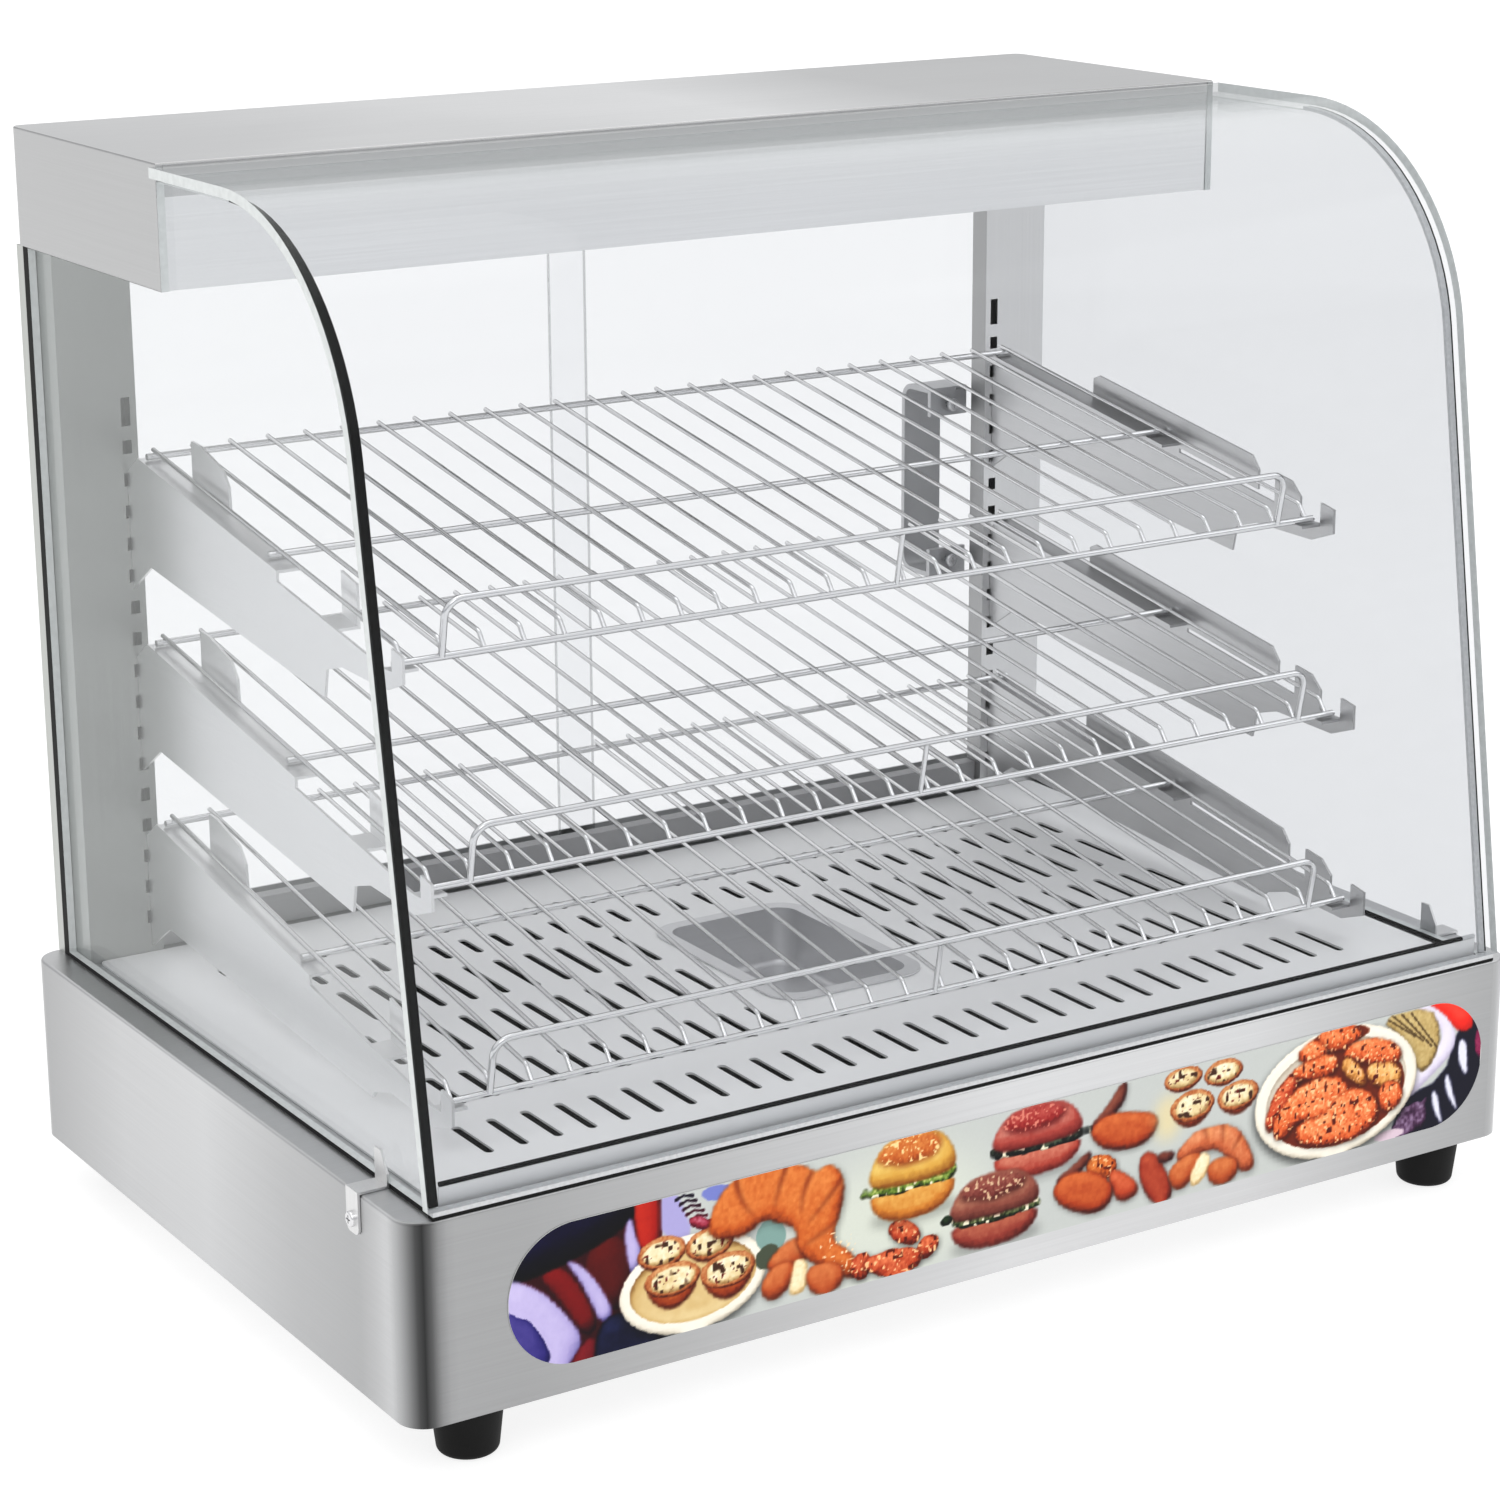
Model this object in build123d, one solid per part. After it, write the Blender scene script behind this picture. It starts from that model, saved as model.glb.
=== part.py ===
from build123d import *
import os
from math import asin, atan2, cos, degrees, hypot, radians, sin, sqrt, tan

# Counter-top hot food display case with a curved front glass, three sloping wire shelves,
# a heated floor, and two sliding doors at the back.
# Millimetres. X runs along the counter, -Y is the customers' side, +Z is up.
# The dimensions below are taken from the middle of the base. add() then moves every piece,
# so that the origin is on the counter under the middle of the whole case, handles included.

# ---------------------------------------------------------------- driving dimensions
SHEET = 1.2              # stainless sheet of the casing
GAP = 0.3                # clearance between pieces of different bodies

MIDDLE_Y = 13.0          # the case's middle lies this far behind the base's middle

BASE_HALF_X = 330.0
BASE_HALF_Y = 217.5
FOOT_HEIGHT = 25.0
BASE_TOP = 125.0
CORNER_R = 14.0

ROOF_HALF_X = 315.0
ROOF_FRONT = 36.0
ROOF_BOTTOM = 505.0
ROOF_TOP = 565.0

GLASS_FRONT_T = 5.0      # front glass
GLASS_SIDE_T = 4.0       # side panes and doors
BEND_Y = -45.5           # where the front glass leaves the level flange
BEND_R = 124.0           # outer radius of its bend
GLASS_FOOT_Y = -217.3    # outer face at the bottom edge
GLASS_FOOT_Z = 129.0
GLASS_TOP_Z = 563.5
FRONT_GLASS_HALF_X = 318.5
TONGUE_END_Y = 60.0      # the flange runs on into the roof as a tongue
TONGUE_HALF_X = 311.0

POST_FRONT_Y = 183.0
POST_INNER_X = 269.0
PANE_REAR_Y = 202.5
POST_STEP_Y = 209.1      # the post's outer wall jogs out behind the pane's rear seal
BRACKET_X = 275.0        # middle of the bracket plates and of the slot columns
SLOT_PITCH = 17.0
SLOT_HALF = 3.5

FLOOR_HALF_X = 306.0
FLOOR_FRONT_Y = -196.0
FLOOR_REAR_Y = 182.5
FLOOR_BOTTOM_Z = 125.2

TRAY_X0, TRAY_X1 = -31.0, 49.0
TRAY_Y0, TRAY_Y1 = -65.0, 60.0
TRAY_DEPTH = 34.0

SHELF_TILT = 9.3         # degrees down towards the front
SHELF_REAR_Y = 163.0
SHELF_REAR_Z = (399.0, 300.5, 202.5)
SHELF_DEPTH = (272.0, 294.0, 308.0)
SHELF_HALF_X = 273.0
RAIL_R = 1.7
WIRE_R = 1.1
WIRE_COUNT = 26
WIRE_SPAN = 536.0        # first wire to last
FRONT_DROP = 4.5         # the front rail hangs this far under the line of the others
FENCE_HALF_X = 248.0
FENCE_HEIGHT = 28.0
FENCE_LEAN = 6.0

DOOR_OUTER_X = 309.0
DOOR_OVERLAP_X = 14.0
DOOR_Y = {"right": 200.5, "left": 209.85}
DOOR_BOTTOM_Z = 129.2
DOOR_TOP_Z = 500.0
TRACK_Y0, TRACK_Y1 = 197.3, 217.2

HANDLE_X = 258.0
HANDLE_WIDTH = 26.0
HANDLE_Z0, HANDLE_Z1 = 258.0, 373.0
HANDLE_REACH = 30.0
HANDLE_T = 3.0

GRAPHIC_X0, GRAPHIC_X1 = -280.0, 310.0
GRAPHIC_Z0, GRAPHIC_Z1 = 39.0, 109.0
GRAPHIC_T = 0.5

SIDES = {"left": -1, "right": 1}
LEVELS = {"upper": 0, "middle": 1, "lower": 2}

parts = {}


# ---------------------------------------------------------------- shape helpers
def block(x0, x1, y0, y1, z0, z1):
    centre = Pos((x0 + x1) / 2, (y0 + y1) / 2, (z0 + z1) / 2)
    return centre * Box(abs(x1 - x0), abs(y1 - y0), abs(z1 - z0))


def rounded_block(x0, x1, y0, y1, z0, z1, radius):
    outline = RectangleRounded(x1 - x0, y1 - y0, radius)
    return extrude(Pos((x0 + x1) / 2, (y0 + y1) / 2, z0) * outline, z1 - z0)


def side_prism(points, x0, x1):
    """A flat outline in Y and Z, given thickness along X."""
    low = min(x0, x1)
    outline = Plane.YZ.offset(low) * make_face(Polyline(*points, close=True))
    return extrude(outline, abs(x1 - x0))


def rod(start, end, radius):
    direction = Vector(*end) - Vector(*start)
    plane = Plane(origin=start, z_dir=direction)
    return extrude(plane * Circle(radius), direction.length)


def bent_rod(points, radii, radius):
    path = FilletPolyline(*points, radius=radii)
    return sweep(Plane(origin=path @ 0, z_dir=path % 0) * Circle(radius), path=path)


def join(pieces):
    first, *others = pieces
    return first.fuse(*others) if others else first


def mirrored(shape, side):
    """The right-hand shape as drawn, or its mirror image for the left side."""
    return shape if SIDES[side] > 0 else mirror(shape, Plane.YZ)


def pan_head_screw(seat, outward, shank, radius=2.0):
    """A pan head screw whose head sits on the point seat; its shank runs the other way."""
    out = Vector(*outward)
    seat = Vector(*seat)
    head = extrude(Plane(origin=seat, z_dir=out) * Circle(radius * 1.9), radius * 1.1)
    head = fillet(head.faces().sort_by(Axis(seat, out))[-1].edges(), radius * 0.6)
    cross = Plane(origin=seat + out * radius * 0.5, z_dir=out)
    cross = extrude(cross * (Rectangle(radius * 2.0, 0.7) + Rectangle(0.7, radius * 2.0)), radius)
    return head - cross + rod(seat, seat - out * shank, radius)


def screw_hole(seat, outward, radius=2.0):
    out = Vector(*outward)
    return rod(Vector(*seat) + out, Vector(*seat) - out * 8, radius + 0.15)


# ---------------------------------------------------------------- fastener places
PANEL_SCREWS = [((x, BASE_HALF_Y, z), (0, 1, 0)) for x in (-123, 123) for z in (41, 109)]
ROOF_SCREWS = [((x, BASE_HALF_Y, 513), (0, 1, 0)) for x in (-280, -95, 95, 280)]
CLAMP_SCREWS = [((x, 67.5, 555.3), (0, 0, -1)) for x in (-270, -90, 90, 270)]
CLIP_SCREWS = [((s * (BASE_HALF_X + 1.4), -167, 112), (s, 0, 0)) for s in (-1, 1)]
FOOT_CENTRES = {
    "front_left": (-292, -198),
    "front_right": (292, -198),
    "rear_left": (-292, 184),
    "rear_right": (292, 184),
}


def drill(shape, screws):
    for seat, outward in screws:
        shape = shape - screw_hole(seat, outward)
    return shape


# ---------------------------------------------------------------- base
PANEL_OPENING = (-118.0, 118.0, 45.0, 105.0)
GLAND_X, GLAND_Z = -268.0, 62.0


def base_shell():
    """Folded casing: four walls, a deck with a floor opening and a turned-in bottom flange."""
    inset = SHEET
    outer = rounded_block(-BASE_HALF_X, BASE_HALF_X, -BASE_HALF_Y, BASE_HALF_Y,
                          FOOT_HEIGHT, BASE_TOP, CORNER_R)
    outer = fillet(outer.faces().sort_by(Axis.Z)[-1].edges(), 1.6)
    hollow = rounded_block(-BASE_HALF_X + inset, BASE_HALF_X - inset, -BASE_HALF_Y + inset,
                           BASE_HALF_Y - inset, FOOT_HEIGHT - 1, BASE_TOP - SHEET,
                           CORNER_R - inset)
    shell = outer - hollow
    flange = rounded_block(-BASE_HALF_X + inset, BASE_HALF_X - inset, -BASE_HALF_Y + inset,
                           BASE_HALF_Y - inset, FOOT_HEIGHT + SHEET, FOOT_HEIGHT + 2 * SHEET,
                           CORNER_R - inset)
    flange -= block(-313, 313, -180, 168, FOOT_HEIGHT, FOOT_HEIGHT + 5)
    for x, y in FOOT_CENTRES.values():
        flange -= rod((x, y, FOOT_HEIGHT), (x, y, FOOT_HEIGHT + 4), 2.7)
    shell += flange
    shell -= rounded_block(-296, 296, -186, 174, BASE_TOP - 5, BASE_TOP + 1, 6)
    x0, x1, z0, z1 = PANEL_OPENING
    shell -= block(x0, x1, BASE_HALF_Y - 3, BASE_HALF_Y + 1, z0, z1)
    shell -= rod((GLAND_X, BASE_HALF_Y - 5, GLAND_Z), (GLAND_X, BASE_HALF_Y + 5, GLAND_Z), 8.2)
    for seat, outward in PANEL_SCREWS:
        shell -= screw_hole(seat, outward)
    for s in (-1, 1):
        shell -= rod((s * (BASE_HALF_X - 9), -167, 112), (s * (BASE_HALF_X + 5), -167, 112), 2.15)
    return shell


def base_bottom_plate():
    """Bottom cover with rows of cooling slots, held by the foot screws."""
    edge = SHEET + 0.2
    plate = rounded_block(-BASE_HALF_X + edge, BASE_HALF_X - edge, -BASE_HALF_Y + edge,
                          BASE_HALF_Y - edge, FOOT_HEIGHT, FOOT_HEIGHT + SHEET,
                          CORNER_R - edge)
    slots = Sketch() + [Pos(x, y) * SlotOverall(40, 5)
                        for x in range(-200, 201, 80) for y in range(-120, 121, 30)]
    plate -= extrude(Pos(0, 0, FOOT_HEIGHT - 1) * slots, 4)
    for x, y in FOOT_CENTRES.values():
        plate -= rod((x, y, FOOT_HEIGHT - 2), (x, y, FOOT_HEIGHT + 4), 2.7)
    return plate


def control_panel():
    """Recessed plate at the back of the base that carries the controls."""
    x0, x1, z0, z1 = PANEL_OPENING
    inner = BASE_HALF_Y - SHEET
    plate = block(x0 - 10, x1 + 10, inner - SHEET, inner, z0 - 8, z1 + 8)
    plate = drill(plate, PANEL_SCREWS)
    plate -= rod((KNOB_X, 200, CONTROL_Z), (KNOB_X, 220, CONTROL_Z), 5.2)
    for x in SWITCH_X.values():
        plate -= block(x - 8.2, x + 8.2, 200, 220, CONTROL_Z - 15.2, CONTROL_Z + 15.2)
    plate -= rod((LAMP_X, 200, CONTROL_Z), (LAMP_X, 220, CONTROL_Z), 4.2)
    return plate


def foot(x, y):
    """Rubber foot, tapering downwards, with a counterbore for its screw."""
    body = Pos(x, y, 0) * extrude(Circle(14.5), FOOT_HEIGHT, taper=-6.5)
    body = fillet(body.faces().sort_by(Axis.Z)[0].edges(), 3.5)
    body -= rod((x, y, -1), (x, y, 12), 6.0)
    return body - rod((x, y, 5), (x, y, FOOT_HEIGHT + 1), 2.7)


def foot_screw(x, y):
    screw = pan_head_screw((x, y, 12), (0, 0, -1), 22, radius=2.5)
    nut = extrude(Pos(x, y, FOOT_HEIGHT + 2 * SHEET) * RegularPolygon(4.6, 6), 4)
    return [screw, nut - rod((x, y, 20), (x, y, 40), 2.5)]


# ---------------------------------------------------------------- heated floor
SLOT_X_PITCH = 18.4
SLOT_COLUMNS = range(-14, 15)
SLOT_W = 5.0
# middle of the row, length of its slots, and whether the row stops short of the water tray
SLOT_ROWS = (
    (-145, 37, False),
    (-83, 39, True),
    (-18, 46, True),
    (46, 48, True),
    (97, 24, False),
    (130, 13, False),
)
ELEMENT_Z = 104.0
ELEMENT_R = 4.0
ELEMENT_X = {"left": (-75.0, -250.0), "right": (85.0, 250.0)}


def floor_grille():
    """Slotted floor plate that lies in the deck; warm air rises through it."""
    plate = rounded_block(-FLOOR_HALF_X, FLOOR_HALF_X, FLOOR_FRONT_Y, FLOOR_REAR_Y,
                          FLOOR_BOTTOM_Z, FLOOR_BOTTOM_Z + SHEET, 3)
    slots = []
    for y, length, stops in SLOT_ROWS:
        for column in SLOT_COLUMNS:
            x = column * SLOT_X_PITCH
            if stops and TRAY_X0 - 15 < x < TRAY_X1 + 15:
                continue
            slots.append(Pos(x, y) * Rot(0, 0, 90) * SlotOverall(length, SLOT_W))
    plate -= extrude(Pos(0, 0, FLOOR_BOTTOM_Z - 1) * (Sketch() + slots), 4)
    return plate - rounded_block(TRAY_X0 - 1.5, TRAY_X1 + 1.5, TRAY_Y0 - 1.5, TRAY_Y1 + 1.5,
                                 FLOOR_BOTTOM_Z - 1, FLOOR_BOTTOM_Z + 5, 13)


def water_tray():
    """Pan that hangs in the floor by its rim and keeps the air moist."""
    rim_z = FLOOR_BOTTOM_Z + SHEET + GAP
    rim = rounded_block(TRAY_X0 - 7, TRAY_X1 + 7, TRAY_Y0 - 7, TRAY_Y1 + 7, rim_z, rim_z + 1, 18)
    bowl = rounded_block(TRAY_X0, TRAY_X1, TRAY_Y0, TRAY_Y1, rim_z + 1 - TRAY_DEPTH, rim_z + 1, 12)
    bowl = fillet(bowl.faces().sort_by(Axis.Z)[0].edges(), 5)
    hollow = rounded_block(TRAY_X0 + 1, TRAY_X1 - 1, TRAY_Y0 + 1, TRAY_Y1 - 1,
                           rim_z + 2 - TRAY_DEPTH, rim_z + 3, 11)
    hollow = fillet(hollow.faces().sort_by(Axis.Z)[0].edges(), 4)
    return rim + bowl - hollow


def element_pan():
    """Pan under the deck that holds the elements and keeps their heat off the wiring."""
    outer = block(-300, 300, -189, 177, 87, BASE_TOP - SHEET - 0.2)
    pan = outer - block(-298.8, 298.8, -187.8, 175.8, 88.2, BASE_TOP)
    for legs in ELEMENT_X.values():
        for x in legs:
            pan -= rod((x, 170, ELEMENT_Z), (x, 180, ELEMENT_Z), ELEMENT_R + 0.6)
    return pan


def heating_element(side):
    """Sheathed hairpin element; both ends come out at the back of the pan."""
    near, far = ELEMENT_X[side]
    points = [(near, 195, ELEMENT_Z), (near, -150, ELEMENT_Z),
              (far, -150, ELEMENT_Z), (far, 195, ELEMENT_Z)]
    return bent_rod(points, [35, 35], ELEMENT_R)


def element_clip(x, y):
    clip = block(x - 8, x + 8, y - 5, y + 5, 88.4, ELEMENT_Z + 7)
    return clip - rod((x, y - 6, ELEMENT_Z), (x, y + 6, ELEMENT_Z), ELEMENT_R + 0.1)


# ---------------------------------------------------------------- controls
KNOB_X = -72.0
CONTROL_Z = 75.0
SWITCH_X = {"power": 12.0, "light": 58.0}
LAMP_X = 92.0
PANEL_FACE = BASE_HALF_Y - SHEET
ROCKER_PIVOT_Y = PANEL_FACE + 1.0
ROCKER_HALF_TURN = 9.0


def thermostat_body():
    back = block(KNOB_X - 22, KNOB_X + 22, 180, PANEL_FACE - SHEET - 0.2, 53, 97)
    bush = rod((KNOB_X, 200, CONTROL_Z), (KNOB_X, PANEL_FACE + 3, CONTROL_Z), 5.0)
    return back + bush - rod((KNOB_X, 190, CONTROL_Z), (KNOB_X, 230, CONTROL_Z), 3.05)


def thermostat_spindle():
    return rod((KNOB_X, 195, CONTROL_Z), (KNOB_X, PANEL_FACE + 16, CONTROL_Z), 3.0)


def thermostat_knob():
    """Skirted knob with grip flutes and a raised pointer."""
    face = PANEL_FACE + 3.5
    skirt = rod((KNOB_X, face, CONTROL_Z), (KNOB_X, face + 3, CONTROL_Z), 20)
    grip = rod((KNOB_X, face, CONTROL_Z), (KNOB_X, face + 18, CONTROL_Z), 14.5)
    grip = fillet(grip.faces().sort_by(Axis.Y)[-1].edges(), 2)
    flutes = [rod((KNOB_X + 16 * cos(a), face + 3.5, CONTROL_Z + 16 * sin(a)),
                  (KNOB_X + 16 * cos(a), face + 20, CONTROL_Z + 16 * sin(a)), 2.4)
              for a in (radians(15 + 30 * i) for i in range(12))]
    pointer = block(KNOB_X - 1, KNOB_X + 1, face + 17, face + 18.8, CONTROL_Z, CONTROL_Z + 12)
    knob = skirt + (grip - flutes) + pointer
    return knob - rod((KNOB_X, face - 1, CONTROL_Z), (KNOB_X, PANEL_FACE + 16, CONTROL_Z), 3.0)


def switch_body(x):
    """Bezel and housing of a rocker switch, hollow where the rocker sits."""
    bezel = block(x - 10.5, x + 10.5, PANEL_FACE, PANEL_FACE + 2, CONTROL_Z - 17.5,
                  CONTROL_Z + 17.5)
    bezel = fillet(bezel.faces().sort_by(Axis.Y)[-1].edges(), 1)
    house = block(x - 8, x + 8, 190, PANEL_FACE + 1, CONTROL_Z - 15, CONTROL_Z + 15)
    pocket = block(x - 6.9, x + 6.9, 205, PANEL_FACE + 5, CONTROL_Z - 13.6, CONTROL_Z + 13.6)
    return bezel + house - pocket


def rocker(x):
    """Two-winged button, resting with its lower end in."""
    y = ROCKER_PIVOT_Y
    z = CONTROL_Z
    points = [(y - 5, z - 12), (y + 4, z - 12), (y + 1.6, z), (y + 4, z + 12), (y - 5, z + 12)]
    button = side_prism(points, x - 6.6, x + 6.6)
    return button.rotate(Axis((x, y, z), (1, 0, 0)), -ROCKER_HALF_TURN)


def indicator_lamp():
    lens = rod((LAMP_X, 205, CONTROL_Z), (LAMP_X, PANEL_FACE, CONTROL_Z), 4)
    cap = rod((LAMP_X, PANEL_FACE, CONTROL_Z), (LAMP_X, PANEL_FACE + 3, CONTROL_Z), 6)
    return lens + fillet(cap.faces().sort_by(Axis.Y)[-1].edges(), 2)


def cable_gland():
    """Nylon gland in the back wall, bored for the supply cable."""
    wall = BASE_HALF_Y
    flange = extrude(Plane(origin=(GLAND_X, wall, GLAND_Z), z_dir=(0, 1, 0))
                     * RegularPolygon(13, 6), 5)
    nose = rod((GLAND_X, wall + 5, GLAND_Z), (GLAND_X, wall + 14, GLAND_Z), 9)
    nose = fillet(nose.faces().sort_by(Axis.Y)[-1].edges(), 2)
    neck = rod((GLAND_X, wall - 11, GLAND_Z), (GLAND_X, wall, GLAND_Z), 8)
    return flange + nose + neck - rod((GLAND_X, wall - 20, GLAND_Z), (GLAND_X, wall + 20, GLAND_Z), 4)


# ---------------------------------------------------------------- posts and roof
LONG_SLOT = (412.0, 427.0)   # the topmost slot of each post


def post(side):
    """Folded box upright with a slotted front web; the pane laps over its outer wall."""
    x_in = POST_INNER_X
    x_lap = ROOF_HALF_X - GLASS_SIDE_T - 0.3
    x_out = ROOF_HALF_X
    y = POST_FRONT_Y
    rear = BASE_HALF_Y
    z0, z1 = BASE_TOP, ROOF_BOTTOM
    back = y + 13.8
    step = POST_STEP_Y
    column = join([
        block(x_in, x_lap, y, y + SHEET, z0, z1),
        block(x_in, x_lap, back - SHEET, back, z0, z1),
        block(x_in, x_in + SHEET, y, back, z0, z1),
        block(x_lap - SHEET, x_lap, y, step + SHEET, z0, z1),
        block(x_lap - SHEET, x_out, step, step + SHEET, z0, z1),
        block(x_out - SHEET, x_out, step, rear, z0, z1),
    ])
    spans = [(z - SLOT_HALF, z + SLOT_HALF) for z in slot_heights()] + [LONG_SLOT]
    slots = [block(BRACKET_X - 2.5, BRACKET_X + 2.5, y - 1, y + 3, low, high)
             for low, high in spans]
    return mirrored(column - slots, side)


def slot_heights():
    return [146.0 + SLOT_PITCH * i for i in range(16)]


def roof_shell():
    """Folded lid; the front wall stops short so that the glass tongue slides in."""
    outer = block(-ROOF_HALF_X, ROOF_HALF_X, ROOF_FRONT, BASE_HALF_Y, ROOF_BOTTOM, ROOF_TOP)
    outer = fillet(outer.edges().filter_by(Axis.Z).sort_by(Axis.Y)[-2:], 6)
    outer = fillet(outer.faces().sort_by(Axis.Z)[-1].edges(), 1.0)
    shell = outer - block(-ROOF_HALF_X + SHEET, ROOF_HALF_X - SHEET, ROOF_FRONT + SHEET,
                          BASE_HALF_Y - SHEET, ROOF_BOTTOM - 1, ROOF_TOP - SHEET)
    shell -= block(-TONGUE_HALF_X - 0.6, TONGUE_HALF_X + 0.6, ROOF_FRONT - 1,
                   ROOF_FRONT + SHEET + 1, GLASS_TOP_Z - GLASS_FRONT_T - 0.3, GLASS_TOP_Z + 0.3)
    return drill(shell, ROOF_SCREWS)


def roof_bottom_plate():
    """Ceiling of the case, with a turned-up rear flange and a window for the lamp."""
    inner_x = ROOF_HALF_X - SHEET - 0.2
    rear = BASE_HALF_Y - SHEET - 0.2
    plate = block(-inner_x, inner_x, ROOF_FRONT + SHEET + 0.2, rear, 506, 506 + SHEET)
    plate += block(-inner_x, inner_x, rear - SHEET, rear, 506, 524)
    plate -= rounded_block(-224, 224, 90, 130, 500, 512, 8)
    return drill(plate, ROOF_SCREWS)


def glass_clamp_strip():
    strip = block(-300, 300, 40, 74, 555.3, 557.9)
    return drill(strip, [((x, y, 556), (0, 0, -1)) for (x, y, _), _ in CLAMP_SCREWS])


LAMP_Y, LAMP_Z, LAMP_R = 110.0, 530.0, 8.0


def lamp_tube():
    tube = rod((-232, LAMP_Y, LAMP_Z), (232, LAMP_Y, LAMP_Z), LAMP_R)
    return fillet(tube.faces().filter_by(Plane.YZ).edges(), 1.5)


def lamp_holder(s):
    holder = block(s * 226, s * 246, LAMP_Y - 14, LAMP_Y + 14, 507.4, LAMP_Z + 13)
    holder = fillet(holder.edges().filter_by(Axis.Z), 3)
    return holder - rod((s * 220, LAMP_Y, LAMP_Z), (s * 232.2, LAMP_Y, LAMP_Z), LAMP_R + 0.1)


# ---------------------------------------------------------------- glass
def glass_outline(inset, foot_z, y_back):
    """Curved edge parallel to the outside of the front glass, from flange to foot.

    Returns the flange point, the arc's start, middle and end, and the foot point.
    """
    centre_z = GLASS_TOP_Z - BEND_R
    dy, dz = BEND_Y - GLASS_FOOT_Y, centre_z - GLASS_FOOT_Z
    lean = atan2(dz, dy) + asin(BEND_R / hypot(dy, dz))
    radius = BEND_R - inset
    # direction from the bend's centre to where the straight part leaves the arc
    away = lean + radians(90)
    end = (BEND_Y + radius * cos(away), centre_z + radius * sin(away))
    half = (away + radians(90)) / 2
    middle = (BEND_Y + radius * cos(half), centre_z + radius * sin(half))
    start = (BEND_Y, centre_z + radius)
    foot_y = end[0] + (foot_z - end[1]) / tan(lean)
    return (y_back, GLASS_TOP_Z - inset), start, middle, end, (foot_y, foot_z)


def curved_band(outer_inset, inner_inset, foot_z, y_back, x0, x1):
    """A sheet that follows the front glass between two insets, back to y_back."""
    o_back, o_start, o_mid, o_end, o_foot = glass_outline(outer_inset, foot_z, y_back)
    i_back, i_start, i_mid, i_end, i_foot = glass_outline(inner_inset, foot_z, y_back)
    edge = [
        ThreePointArc(o_start, o_mid, o_end),
        Line(o_end, o_foot),
        Line(o_foot, i_foot),
        Line(i_foot, i_end),
        ThreePointArc(i_end, i_mid, i_start),
    ]
    if y_back > BEND_Y:
        edge += [Line(i_start, i_back), Line(i_back, o_back), Line(o_back, o_start)]
    else:
        edge += [Line(i_start, o_start)]
    outline = make_face(Wire(edge))
    return extrude(Plane.YZ.offset(min(x0, x1)) * outline, abs(x1 - x0))


def front_glass():
    """Bent front pane; the narrow tongue at the top sits in the roof."""
    pane = curved_band(0, GLASS_FRONT_T, GLASS_FOOT_Z, TONGUE_END_Y,
                       -FRONT_GLASS_HALF_X, FRONT_GLASS_HALF_X)
    for s in (-1, 1):
        pane -= block(s * TONGUE_HALF_X, s * 330, ROOF_FRONT - 0.3, TONGUE_END_Y + 1, 550, 570)
    return pane


SEAL_T = 1.9
UNDER_SEAL_H = 2.3
PANE_BOTTOM = BASE_TOP + UNDER_SEAL_H + 0.1
PANE_INSET = GLASS_FRONT_T + SEAL_T + 0.2


def side_glass(side):
    """Flat end pane, cut to the curve of the front glass and round the roof."""
    back, start, middle, end, foot_point = glass_outline(PANE_INSET, PANE_BOTTOM, 35.6)
    corners = [foot_point, (PANE_REAR_Y, PANE_BOTTOM), (PANE_REAR_Y, ROOF_BOTTOM - 0.3),
               (35.6, ROOF_BOTTOM - 0.3), back, start]
    edge = [Line(a, b) for a, b in zip(corners, corners[1:])]
    edge += [ThreePointArc(start, middle, end), Line(end, foot_point)]
    x1 = ROOF_HALF_X
    outline = Plane.YZ.offset(x1 - GLASS_SIDE_T) * make_face(Wire(edge))
    return mirrored(extrude(outline, GLASS_SIDE_T), side)


def side_glass_seals(side):
    """Black edge strips: along the curve, under the pane and down its rear edge."""
    x0, x1 = ROOF_HALF_X - GLASS_SIDE_T, ROOF_HALF_X
    curve = curved_band(GLASS_FRONT_T + 0.1, GLASS_FRONT_T + 0.1 + SEAL_T, GLASS_FOOT_Z + 0.2,
                        BEND_Y, x0 - 0.3, x1 + 0.2)
    under = block(x0, x1, -208, PANE_REAR_Y, BASE_TOP, BASE_TOP + UNDER_SEAL_H)
    rear = block(x0, x1, PANE_REAR_Y + 0.1, POST_STEP_Y - 0.1, BASE_TOP, ROOF_BOTTOM - 0.3)
    return [mirrored(piece, side) for piece in (curve, under, rear)]


def front_glass_strip():
    """Inner angle that keeps the foot of the front glass in place."""
    upright = block(-309, 309, -209.6, -208.4, BASE_TOP, BASE_TOP + 12)
    return upright + block(-309, 309, -209.6, -197, BASE_TOP, BASE_TOP + SHEET)


def front_glass_seals():
    under = block(-316, 316, GLASS_FOOT_Y + 0.3, -212.4, BASE_TOP + 0.1, GLASS_FOOT_Z - 0.1)
    bead = block(-308.5, 308.5, -210.2, -207.8, BASE_TOP + 12.1, BASE_TOP + 14.2)
    return [under, fillet(bead.edges().filter_by(Axis.X), 0.8)]


def glass_clip(s):
    """Z-shaped spring clip: screwed to the base, over the rim and up the side pane."""
    out, rim = BASE_HALF_X + 1.4, ROOF_HALF_X + 1.4
    front, rear = -173, -161
    low, fold, top = 105, BASE_TOP + 0.2, BASE_TOP + 17
    leg = block(s * (out - 1.2), s * out, front, rear, low, fold + 1.2)
    leg = fillet(leg.faces().sort_by(Axis.Z)[0].edges().filter_by(Axis.X), 3.5)
    tread = block(s * (rim - 1.2), s * out, front, rear, fold, fold + 1.2)
    outline = [(front, fold), (rear, fold), (rear, top), (front + 6, top), (front, top - 10)]
    clip = join([leg, tread, side_prism(outline, s * (rim - 1.2), s * rim)])
    return clip - rod((s * 320, -167, 112), (s * 340, -167, 112), 2.15)


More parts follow.
